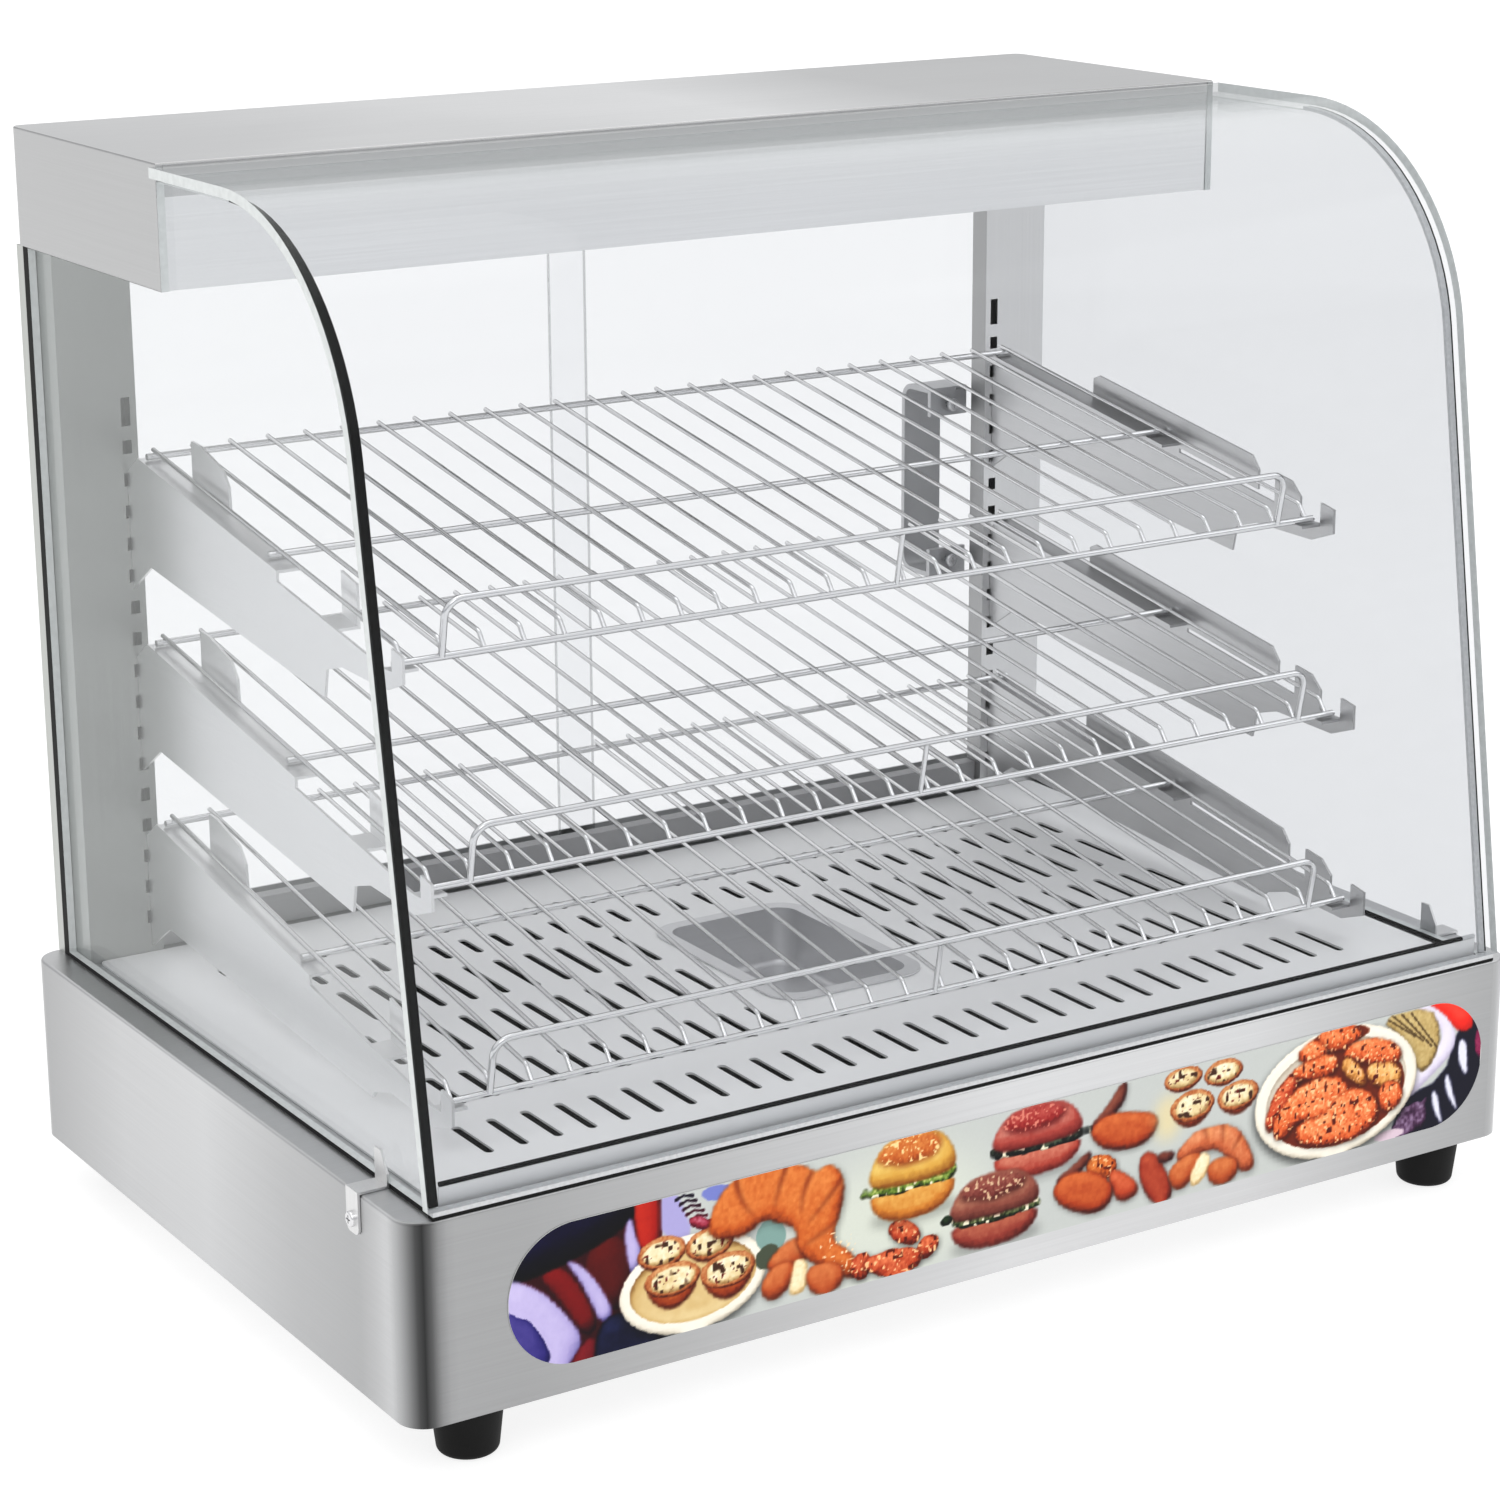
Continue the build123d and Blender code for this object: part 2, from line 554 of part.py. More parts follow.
# ---------------------------------------------------------------- sliding doors
def door_track(z_base, z_lip):
    """Double channel for the two doors; z_lip is the free edge of its three walls."""
    half = DOOR_OUTER_X + 0.2
    floor_z = z_base + (SHEET if z_lip > z_base else -SHEET)
    walls = [block(-half, half, y, y + SHEET, z_base, z_lip)
             for y in (TRACK_Y0, 206.6, TRACK_Y1 - SHEET)]
    return join([block(-half, half, TRACK_Y0, TRACK_Y1, z_base, floor_z)] + walls)


def rear_sill():
    """Folded strip in front of the lower track, between the posts."""
    half = POST_INNER_X - 0.4
    face = block(-half, half, 188, 188 + SHEET, BASE_TOP + 1.5, 143)
    return face + block(-half, half, 188, 197, 143 - SHEET, 143)


def door_span(side):
    near, far = -DOOR_OVERLAP_X, DOOR_OUTER_X
    return (near, far) if side == "right" else (-far, -near)


def handle_screw_points(side):
    s = SIDES[side]
    return [(s * HANDLE_X, DOOR_Y[side] + GLASS_SIDE_T, z) for z in (HANDLE_Z0 + 10, HANDLE_Z1 - 10)]


def door_glass(side):
    x0, x1 = door_span(side)
    y = DOOR_Y[side]
    pane = block(x0, x1, y, y + GLASS_SIDE_T, DOOR_BOTTOM_Z, DOOR_TOP_Z)
    pane = chamfer(pane.edges().filter_by(Axis.Z), 0.5)
    for x, py, z in handle_screw_points(side):
        pane -= rod((x, y - 1, z), (x, y + 8, z), 2.4)
    return pane


def door_handle(side):
    """Flat bar bent to a U, with a pad at each end against the glass."""
    y0 = DOOR_Y[side] + GLASS_SIDE_T
    y1 = y0 + HANDLE_REACH
    outer = block(-1, 1, y0, y1, HANDLE_Z0, HANDLE_Z1)
    outer = fillet(outer.edges().filter_by(Axis.X).sort_by(Axis.Y)[-2:], 10)
    inner = block(-2, 2, y0 - 1, y1 - HANDLE_T, HANDLE_Z0 + HANDLE_T, HANDLE_Z1 - HANDLE_T)
    inner = fillet(inner.edges().filter_by(Axis.X).sort_by(Axis.Y)[-2:], 7)
    profile = section(outer - inner, section_by=Plane.YZ)
    x = SIDES[side] * HANDLE_X
    half = HANDLE_WIDTH / 2
    bar = extrude(Pos(x - half, 0, 0) * profile, HANDLE_WIDTH, dir=(1, 0, 0))
    pads = [block(x - half, x + half, y0, y0 + HANDLE_T, z, z + 16)
            for z in (HANDLE_Z0 + 1, HANDLE_Z1 - 17)]
    bar = join([bar] + pads)
    for px, py, pz in handle_screw_points(side):
        bar -= rod((px, y0 - 1, pz), (px, y0 + 5, pz), 2.2)
    return bar


def door_handle_screws(side):
    """Screws through the glass into the handle, heads on the inside."""
    return [pan_head_screw((x, y - GLASS_SIDE_T, z), (0, -1, 0), GLASS_SIDE_T + 2.6, radius=2.0)
            for x, y, z in handle_screw_points(side)]


def door_glides(side):
    """Plastic shoes that carry the pane in the lower track."""
    x0, x1 = door_span(side)
    y = DOOR_Y[side] + GLASS_SIDE_T / 2
    shoes = []
    for x in (x0 + 40, x1 - 40):
        shoe = block(x - 16, x + 16, y - 3.5, y + 3.5, BASE_TOP + SHEET + 0.4, DOOR_BOTTOM_Z + 7)
        slot = block(x - 20, x + 20, y - 2, y + 2, DOOR_BOTTOM_Z, DOOR_BOTTOM_Z + 10)
        shoes.append(shoe - slot)
    return shoes


# ---------------------------------------------------------------- shelves
def shelf_z(level, y):
    """Height of the middle of the cross rails at a place along the slope."""
    return SHELF_REAR_Z[level] - (SHELF_REAR_Y - y) * tan(radians(SHELF_TILT))


def shelf_front(level):
    y = SHELF_REAR_Y - SHELF_DEPTH[level]
    return y, shelf_z(level, y) - FRONT_DROP


def shelf_middle_y(level):
    return SHELF_REAR_Y - SHELF_DEPTH[level] * 0.525


def shelf_bracket(side, level):
    """Cantilever bracket: a plate hooked into the post, with a ledge for the shelf."""
    front_y, front_z = shelf_front(level)
    ledge_end = shelf_middle_y(level) - 14
    def top(y):
        return shelf_z(level, y) - RAIL_R - 0.5
    heel = shelf_z(level, POST_FRONT_Y) - 76
    nose = front_z - RAIL_R - 0.5
    low_y = front_y + 67
    low_z = heel + 16 - (158 - low_y) * tan(radians(6.5))
    lowest = max(low_z, FLOOR_BOTTOM_Z + 4)
    rear = POST_FRONT_Y - 0.2
    outline = [
        (rear, heel), (rear, top(rear) - 12), (rear - 14, top(rear - 14)),
        (ledge_end, top(ledge_end)), (ledge_end, top(ledge_end) - FRONT_DROP - 1),
        (front_y + 5, nose), (front_y - 4.5, nose), (front_y - 4.5, front_z + 9),
        (front_y - 15, front_z + 7), (front_y - 15, front_z - 6), (front_y + 2, nose - 10),
        (low_y - 20, low_z + 19), (low_y - 3, low_z + 14), (low_y, lowest),
        (158, heel + 16),
    ]
    x0, x1 = BRACKET_X - 0.75, BRACKET_X + 0.75
    pieces = [side_prism(outline, x0, x1)]
    ledge = [(168, top(168)), (ledge_end, top(ledge_end)),
             (ledge_end, top(ledge_end) - 1.5), (168, top(168) - 1.5)]
    pieces.append(side_prism(ledge, BRACKET_X - 13, x1))
    pieces.append(ledge_foot(front_y, nose, x1))
    pieces += bracket_hooks(heel, top(rear) - 14, x0, x1)
    pieces += bracket_ears(side, level, top)
    return mirrored(join(pieces), side)


def ledge_foot(front_y, nose, x1):
    """Short seat under the end of the front rail."""
    return block(BRACKET_X - 13, x1, front_y - 4.5, front_y + 5, nose - 1.5, nose)


def bracket_hooks(low, high, x0, x1):
    """Two hooks through the post's slots, turned down behind the web."""
    inside = [z for z in slot_heights() if low + 6 < z < high - 4]
    hooks = []
    for z in (inside[0], inside[-1]):
        points = [(POST_FRONT_Y - 2, z - 2.5), (POST_FRONT_Y + 1.6, z - 2.5),
                  (POST_FRONT_Y + 1.6, z - 8), (POST_FRONT_Y + 4, z - 7),
                  (POST_FRONT_Y + 4, z + 2.5), (POST_FRONT_Y - 2, z + 2.5)]
        hooks.append(side_prism(points, x0, x1))
    return hooks


def bracket_ears(side, level, top):
    """Upstands that keep the shelf from sliding sideways."""
    front_y = shelf_front(level)[0]
    x_in = BRACKET_X - 13
    if side == "left":
        rear_ear = [(128, top(128) - 1), (128, top(128) + 21), (118, top(118) + 22),
                    (92, top(92) + 19), (85, top(85) + 12), (84, top(84) - 1)]
        back, tip = front_y + 70, front_y + 54
        mid_ear = [(back, top(back) - 7.5), (back, top(back) + 15), (tip, top(tip) + 14),
                   (tip, top(tip) - 7.5)]
        seat = [(back, top(back) - 7.5), (back, top(back) - 6), (tip, top(tip) - 6),
                (tip, top(tip) - 7.5)]
        ears = [side_prism(ear, x_in, x_in + 1.5) for ear in (rear_ear, mid_ear)]
        return ears + [side_prism(seat, x_in, BRACKET_X)]
    low_end = front_y + 47
    fin = [(85, top(85) - 3), (85, top(85) + 11), (80, top(80) + 14),
           (low_end + 6, top(low_end + 6) + 14), (low_end, top(low_end) + 8),
           (low_end, top(low_end) - 3)]
    back, tip = front_y + 33, front_y + 12
    nose_ear = [(back, top(back) - 8), (back, top(back) + 11), (tip + 8, top(tip + 8) + 11),
                (tip, top(tip) + 5), (tip, top(tip) - 8)]
    return [side_prism(ear, BRACKET_X - 0.75, BRACKET_X + 0.75) for ear in (fin, nose_ear)]


def shelf(level):
    """Welded wire shelf: three cross rails, wires laid over them, and a front fence."""
    front_y, front_z = shelf_front(level)
    rear_z = SHELF_REAR_Z[level]
    mid_y = shelf_middle_y(level)
    tilt = tan(radians(SHELF_TILT))
    rails = [rod((-SHELF_HALF_X, y, z), (SHELF_HALF_X, y, z), RAIL_R)
             for y, z in ((SHELF_REAR_Y, rear_z), (mid_y, shelf_z(level, mid_y)),
                          (front_y, front_z))]
    lift = RAIL_R + WIRE_R - 0.35
    bend_y = front_y + 6
    wire = bent_rod([(0, SHELF_REAR_Y + 3, rear_z + 3 * tilt + lift),
                     (0, bend_y, shelf_z(level, bend_y) + lift),
                     (0, front_y + 0.4, front_z + 0.6)], [4], WIRE_R)
    pitch = WIRE_SPAN / (WIRE_COUNT - 1)
    wires = [Pos(-WIRE_SPAN / 2 + pitch * i, 0, 0) * wire for i in range(WIRE_COUNT)]
    top_y, top_z = front_y - FENCE_LEAN, front_z + FENCE_HEIGHT
    foot_y, foot_z = front_y - 0.4, front_z + RAIL_R - 1.4
    fence = bent_rod([(-FENCE_HALF_X, foot_y, foot_z), (-FENCE_HALF_X, top_y, top_z),
                      (FENCE_HALF_X, top_y, top_z), (FENCE_HALF_X, foot_y, foot_z)],
                     [9, 9], RAIL_R)
    strut = rod((5, foot_y, foot_z), (5, top_y, top_z), WIRE_R + 0.2)
    return join(rails + [fence, strut] + wires)


def front_graphic_panel():
    """Thin printed panel with round ends on the front of the base."""
    width, height = GRAPHIC_X1 - GRAPHIC_X0, GRAPHIC_Z1 - GRAPHIC_Z0
    middle = ((GRAPHIC_X0 + GRAPHIC_X1) / 2, -BASE_HALF_Y, (GRAPHIC_Z0 + GRAPHIC_Z1) / 2)
    face = Plane(origin=middle, x_dir=(1, 0, 0), z_dir=(0, -1, 0))
    return extrude(face * SlotOverall(width, height), GRAPHIC_T)


# ---------------------------------------------------------------- the whole case
def add(name, shape):
    pieces = shape if isinstance(shape, list) else [shape]
    placed = [Pos(0, -MIDDLE_Y, 0) * piece for piece in pieces]
    parts[name] = placed[0] if len(placed) == 1 else Compound(children=placed)


def build_base():
    add("base_shell", base_shell())
    add("base_bottom_plate", base_bottom_plate())
    add("control_panel", control_panel())
    for name, (x, y) in FOOT_CENTRES.items():
        add("foot_" + name, foot(x, y))
    add("foot_screws", [piece for x, y in FOOT_CENTRES.values() for piece in foot_screw(x, y)])
    add("front_graphic_panel", front_graphic_panel())


def build_heating():
    add("floor_grille", floor_grille())
    add("water_tray", water_tray())
    add("element_pan", element_pan())
    for side in SIDES:
        add("heating_element_" + side, heating_element(side))
    add("element_clips", [element_clip(x, y) for legs in ELEMENT_X.values()
                          for x in legs for y in (-90, 110)])


def build_controls():
    add("thermostat_body", thermostat_body())
    add("thermostat_spindle", thermostat_spindle())
    add("thermostat_knob", thermostat_knob())
    for name, x in SWITCH_X.items():
        add(name + "_switch_body", switch_body(x))
        add(name + "_rocker", rocker(x))
    add("indicator_lamp", indicator_lamp())
    add("cable_gland", cable_gland())


def build_upper_case():
    for side in SIDES:
        add("post_" + side, post(side))
        add("side_glass_" + side, side_glass(side))
        add("glass_clip_" + side, glass_clip(SIDES[side]))
    add("roof_shell", roof_shell())
    add("roof_bottom_plate", roof_bottom_plate())
    add("lamp_tube", lamp_tube())
    add("lamp_holders", [lamp_holder(s) for s in (-1, 1)])
    add("front_glass", front_glass())
    add("side_glass_seals", [piece for side in SIDES for piece in side_glass_seals(side)])
    add("front_glass_strip", front_glass_strip())
    add("front_glass_seals", front_glass_seals())
    add("glass_clamp_strip", glass_clamp_strip())
    screws = PANEL_SCREWS + ROOF_SCREWS + CLAMP_SCREWS + CLIP_SCREWS
    add("case_screws", [pan_head_screw(seat, out, 7) for seat, out in screws])


def build_doors():
    add("door_track_bottom", door_track(BASE_TOP, BASE_TOP + 14))
    add("door_track_top", door_track(ROOF_BOTTOM, ROOF_BOTTOM - 14))
    add("rear_sill", rear_sill())
    for side in SIDES:
        add(f"door_{side}_glass", door_glass(side))
        add(f"door_{side}_handle", door_handle(side))
        add(f"door_{side}_handle_screws", door_handle_screws(side))
        add(f"door_{side}_glides", door_glides(side))


def build_shelves():
    for name, level in LEVELS.items():
        add("shelf_" + name, shelf(level))
        for side in SIDES:
            add(f"shelf_bracket_{name}_{side}", shelf_bracket(side, level))


build_base()
build_heating()
build_controls()
build_upper_case()
build_doors()
build_shelves()

os.makedirs("parts", exist_ok=True)
for name, shape in parts.items():
    export_step(shape, f"parts/{name}.step")
    print(name, len(shape.solids()), "solids")
print(len(parts), "nodes")
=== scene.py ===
from math import cos, radians, sin

import bpy
import numpy as np
from mathutils import Matrix, Vector


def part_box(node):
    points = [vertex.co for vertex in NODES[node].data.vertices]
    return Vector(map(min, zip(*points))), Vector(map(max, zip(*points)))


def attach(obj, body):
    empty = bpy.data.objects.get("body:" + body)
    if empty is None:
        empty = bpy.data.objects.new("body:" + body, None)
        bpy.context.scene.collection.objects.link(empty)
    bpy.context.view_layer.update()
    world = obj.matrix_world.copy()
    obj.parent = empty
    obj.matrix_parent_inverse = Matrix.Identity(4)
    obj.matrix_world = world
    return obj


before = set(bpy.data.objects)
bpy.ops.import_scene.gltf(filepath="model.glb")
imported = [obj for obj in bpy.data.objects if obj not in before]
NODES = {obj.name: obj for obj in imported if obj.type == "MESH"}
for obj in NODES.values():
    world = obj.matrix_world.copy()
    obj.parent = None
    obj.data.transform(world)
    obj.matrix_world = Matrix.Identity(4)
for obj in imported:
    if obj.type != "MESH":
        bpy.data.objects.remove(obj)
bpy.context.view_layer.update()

MM = 0.001

CAMERA_AT = (-1.00818, -1.59396, 0.78661)
CAMERA_TURN = (32.215, -16.278, 0.302)       # yaw, pitch and roll in degrees
SENSOR = 36.0
FOCAL_LENGTH = SENSOR * 3718.47 / 1500
CASE_MIDDLE = (0, 0, 0.3)

# Places on the case, in metres.
BASE_CORNER = (-0.330, -0.231)        # X and Y of the base's front left corner
ROOF_BAND_Z = 0.549                   # the darker band on the roof's front starts here
PAINTED_LIGHT_BAND_Y = 0.0235                       # behind this the front glass is an opaque grey band with a painted glow
CLEAR_SEAL_X = (0.300, 0.3142)        # the right-hand seal's inner part
CLEAR_SEAL_Y, CLEAR_SEAL_Z = 0.185, 0.1288      # ... before this and above this
FOOT_SEAL_Y, FOOT_SEAL_Z = -0.2252, 0.1267      # the upper half under the front glass
KNOB_AT = (-0.072, 0.075)             # X and Z of the thermostat's axis
TICK_RADIUS, TICK_LENGTH, TICK_WIDTH = 0.0242, 0.0032, 0.0009
POINTER_START, POINTER_WIDTH = 0.0055, 0.0018

KNOB_TURN = 270                       # degrees
LOOKS_ALONG = 0.5                     # share of a face's normal that counts as along an axis
GLASS_GREY = (0.905, 0.909, 0.916)
WHITE = (1.0, 1.0, 1.0)


# ---------------------------------------------------------------- camera, light, floor
def make_camera():
    """The camera at the customer's left, a little above the case."""
    yaw, pitch, roll = (radians(angle) for angle in CAMERA_TURN)
    ahead = Vector((sin(yaw) * cos(pitch), cos(yaw) * cos(pitch), sin(pitch)))
    right = Vector((cos(yaw), -sin(yaw), 0))
    up = right.cross(ahead)
    rolled_right = right * cos(roll) - up * sin(roll)
    rolled_up = up * cos(roll) + right * sin(roll)
    data = bpy.data.cameras.new("camera")
    data.sensor_width = SENSOR
    data.lens = FOCAL_LENGTH
    data.clip_start, data.clip_end = 0.1, 60
    camera = bpy.data.objects.new("camera", data)
    bpy.context.scene.collection.objects.link(camera)
    turn = Matrix((rolled_right, rolled_up, -ahead)).transposed().to_4x4()
    camera.matrix_world = Matrix.Translation(CAMERA_AT) @ turn
    bpy.context.scene.camera = camera


def area_light(name, place, size, watts):
    """A soft rectangular light that looks at the middle of the case."""
    data = bpy.data.lights.new(name, "AREA")
    data.shape = "RECTANGLE"
    data.size, data.size_y = size
    data.energy = watts
    lamp = bpy.data.objects.new(name, data)
    bpy.context.scene.collection.objects.link(lamp)
    lamp.location = place
    lamp.rotation_mode = "QUATERNION"
    lamp.rotation_quaternion = (Vector(CASE_MIDDLE) - Vector(place)).to_track_quat("-Z", "Y")


def make_studio():
    """A pale room whose walls are darker a little above the horizon, and three soft lights."""
    scene = bpy.context.scene
    scene.view_settings.view_transform = "Standard"
    world = bpy.data.worlds.new("studio")
    scene.world = world
    world.use_nodes = True
    nt = world.node_tree
    nt.nodes.clear()
    coords = add(nt, "TexCoord").outputs["Generated"]
    split = add(nt, "SeparateXYZ", {0: coords})
    ramp = ramp_node(nt, split.outputs["Z"], [
        (0.0, (0.93, 0.93, 0.93)), (0.04, (0.86, 0.86, 0.87)), (0.10, (0.48, 0.49, 0.50)),
        (0.16, (0.54, 0.55, 0.56)), (0.32, (0.92, 0.92, 0.93)), (0.6, (1.05, 1.05, 1.05)),
        (1.0, (1.25, 1.25, 1.24))])
    back = add(nt, "Background", {"Color": ramp, "Strength": 1.0})
    out = add(nt, "OutputWorld")
    nt.links.new(back.outputs[0], out.inputs[0])
    area_light("key", (-1.6, -2.2, 2.6), (1.6, 1.2), 10)
    area_light("fill", (2.2, -1.2, 1.8), (1.5, 1.5), 6)
    area_light("top", (0, 0.2, 2.8), (2.2, 1.6), 10)


def make_floor():
    """Plain white paper; its own faint light keeps it white under the case."""
    side = 30.0
    mesh = bpy.data.meshes.new("floor")
    mesh.from_pydata([(-side, -side, 0), (side, -side, 0), (side, side, 0), (-side, side, 0)],
                     [], [(0, 1, 2, 3)])
    floor = bpy.data.objects.new("floor", mesh)
    bpy.context.scene.collection.objects.link(floor)
    m, nt, out = new_material("floor_paper")
    coords = add(nt, "TexCoord").outputs["Object"]
    grain = noise(nt, coords, 40.0, 3.0)
    colour = ramp_node(nt, grain, [(0.3, (0.26, 0.26, 0.26)), (0.7, (0.28, 0.28, 0.28))])
    shader = add(nt, "BsdfPrincipled", {"Base Color": colour, "Roughness": 0.7,
                                        "Emission Color": WHITE,
                                        "Emission Strength": 0.80})
    nt.links.new(shader.outputs[0], out.inputs[0])
    mesh.materials.append(m)


# ---------------------------------------------------------------- node helpers
def add(nt, kind, inputs=None, **props):
    """Adds a node; inputs may be plain values or sockets to link from."""
    n = nt.nodes.new("ShaderNode" + kind)
    for key, value in props.items():
        setattr(n, key, value)
    for key, value in (inputs or {}).items():
        socket = n.inputs[key]
        if isinstance(value, bpy.types.NodeSocket):
            nt.links.new(value, socket)
        elif isinstance(value, tuple) and len(value) == 3 and socket.type == "RGBA":
            socket.default_value = (*value, 1.0)
        else:
            socket.default_value = value
    return n


def calc(nt, operation, a, b=0.0, c=0.0):
    """A number worked out by a Math node."""
    return add(nt, "Math", {0: a, 1: b, 2: c}, operation=operation).outputs[0]


def above(nt, value, limit):
    return calc(nt, "GREATER_THAN", value, limit)


def below(nt, value, limit):
    return calc(nt, "LESS_THAN", value, limit)


def both(nt, first, second):
    """1 where both of two yes-or-no numbers are 1."""
    return calc(nt, "MULTIPLY", first, second)


def ramp_node(nt, factor, stops):
    """A colour ramp; each stop is a place with a colour or a grey value."""
    n = add(nt, "ValToRGB", {"Fac": factor})
    elements = n.color_ramp.elements
    while len(elements) < len(stops):
        elements.new(1.0)
    for element, (place, value) in zip(elements, stops):
        element.position = place
        grey = value if isinstance(value, tuple) else (value, value, value)
        element.color = (*grey, 1.0)
    return n.outputs["Color"]


def scaled(nt, colour, factor):
    """A colour times a number that comes from a socket."""
    n = add(nt, "VectorMath", {0: colour}, operation="SCALE")
    nt.links.new(factor, n.inputs["Scale"])
    return n.outputs[0]


def mixed(nt, factor, first, second):
    """The first colour where the factor is 0, the second where it is 1."""
    return add(nt, "MixRGB", {0: factor, 1: first, 2: second}).outputs[0]


def noise(nt, coords, scale, detail):
    """Smooth noise between 0 and 1 from a Noise Texture node."""
    return add(nt, "TexNoise", {"Vector": coords, "Scale": scale, "Detail": detail}).outputs[0]


def new_material(name):
    """An empty node material with its output."""
    m = bpy.data.materials.new(name)
    m.use_nodes = True
    m.node_tree.nodes.clear()
    return m, m.node_tree, add(m.node_tree, "OutputMaterial")


def face_normal(nt, source):
    """The three parts of the face's direction on the object."""
    return add(nt, "SeparateXYZ", {0: source.outputs["Normal"]}).outputs


def stretched(nt, along, low=6.0, high=900.0):
    """Object coordinates drawn out along the grain; 'sheet' follows each face's longer way."""
    source = add(nt, "TexCoord")
    split = add(nt, "SeparateXYZ", {0: source.outputs["Object"]})
    x, y, z = split.outputs
    if along == "sheet":
        sideways = calc(nt, "ABSOLUTE", face_normal(nt, source)[0])
        y_scale = calc(nt, "MULTIPLY_ADD", sideways, low - high, high)
        scales = (low, y_scale, high)
    else:
        scales = tuple(low if axis == along else high for axis in "xyz")
    parts = [calc(nt, "MULTIPLY", c, s) for c, s in zip((x, y, z), scales)]
    return add(nt, "CombineXYZ", {0: parts[0], 1: parts[1], 2: parts[2]}).outputs[0], source, split


# ---------------------------------------------------------------- materials
def metal(name, colour, roughness, along="sheet", contrast=0.10, bump=0.06, shade=None,
          metallic=1.0, spread=0.10, edge_tint=1.0, marks=None):
    """Brushed sheet: long fine grain, faint clouds, and roughness that follows the grain."""
    m, nt, out = new_material(name)
    vector, source, split = stretched(nt, along)
    grain = add(nt, "TexNoise", {"Vector": vector, "Scale": 1.0, "Detail": 4.0,
                                 "Roughness": 0.65}).outputs[0]
    cloud = noise(nt, source.outputs["Object"], 7.0, 3.0)
    tone = calc(nt, "MULTIPLY_ADD", grain, contrast * 2, 1.0 - contrast)
    tone = calc(nt, "MULTIPLY", tone, calc(nt, "MULTIPLY_ADD", cloud, 0.08, 0.96))
    if shade:
        tone = calc(nt, "MULTIPLY", tone, shade(nt, source, split))
    base = scaled(nt, colour, tone)
    if marks:
        base = mixed(nt, marks(nt, split), base, (0.02, 0.02, 0.02))
    rough = calc(nt, "MULTIPLY_ADD", grain, spread, roughness - spread / 2)
    rough = calc(nt, "MULTIPLY_ADD", cloud, 0.06, rough)
    height = add(nt, "Bump", {"Height": grain, "Strength": bump, "Distance": 0.0002}).outputs[0]
    shader = add(nt, "BsdfPrincipled", {"Base Color": base, "Metallic": metallic,
                                        "Roughness": rough, "Normal": height,
                                        "Specular Tint": (edge_tint,) * 3})
    nt.links.new(shader.outputs[0], out.inputs[0])
    return m


def plastic(name, colour, roughness, lighter=1.35, scale=900.0, bump=0.15, specular=0.5,
            marks=None):
    """Moulded plastic or rubber with a fine texture and a slight bloom."""
    m, nt, out = new_material(name)
    coords = add(nt, "TexCoord").outputs["Object"]
    fine = noise(nt, coords, scale, 2.0)
    bloom = noise(nt, coords, 30.0, 4.0)
    pale = tuple(min(1.0, c * lighter + 0.004) for c in colour)
    base = ramp_node(nt, bloom, [(0.35, colour), (0.75, pale)])
    if marks:
        split = add(nt, "SeparateXYZ", {0: coords})
        base = mixed(nt, marks(nt, split), base, (0.80, 0.80, 0.78))
    rough = calc(nt, "MULTIPLY_ADD", bloom, 0.15, roughness - 0.07)
    height = add(nt, "Bump", {"Height": fine, "Strength": bump, "Distance": 0.0003}).outputs[0]
    shader = add(nt, "BsdfPrincipled", {"Base Color": base, "Roughness": rough, "Normal": height,
                                        "Specular IOR Level": specular})
    nt.links.new(shader.outputs[0], out.inputs[0])
    return m


def seal_rubber():
    """Black edge strip; the curved length on the right and the upper half under the front
    glass are clear and look pale grey."""
    m, nt, out = new_material("seal_rubber")
    source = add(nt, "TexCoord").outputs["Object"]
    x, y, z = add(nt, "SeparateXYZ", {0: source}).outputs
    inner = both(nt, above(nt, x, CLEAR_SEAL_X[0]), below(nt, x, CLEAR_SEAL_X[1]))
    curved = both(nt, below(nt, y, CLEAR_SEAL_Y), above(nt, z, CLEAR_SEAL_Z))
    foot = both(nt, below(nt, y, FOOT_SEAL_Y), above(nt, z, FOOT_SEAL_Z))
    clear = calc(nt, "MAXIMUM", both(nt, inner, curved), foot)
    fine = noise(nt, source, 500.0, 2.0)
    black = ramp_node(nt, fine, [(0.3, (0.004, 0.004, 0.004)), (0.7, (0.009, 0.009, 0.009))])
    pale = ramp_node(nt, fine, [(0.3, (0.55, 0.56, 0.57)), (0.7, (0.66, 0.67, 0.68))])
    base = mixed(nt, clear, black, pale)
    shader = add(nt, "BsdfPrincipled", {"Base Color": base, "Roughness": 0.6,
                                        "Specular IOR Level": 0.12})
    nt.links.new(shader.outputs[0], out.inputs[0])
    return m


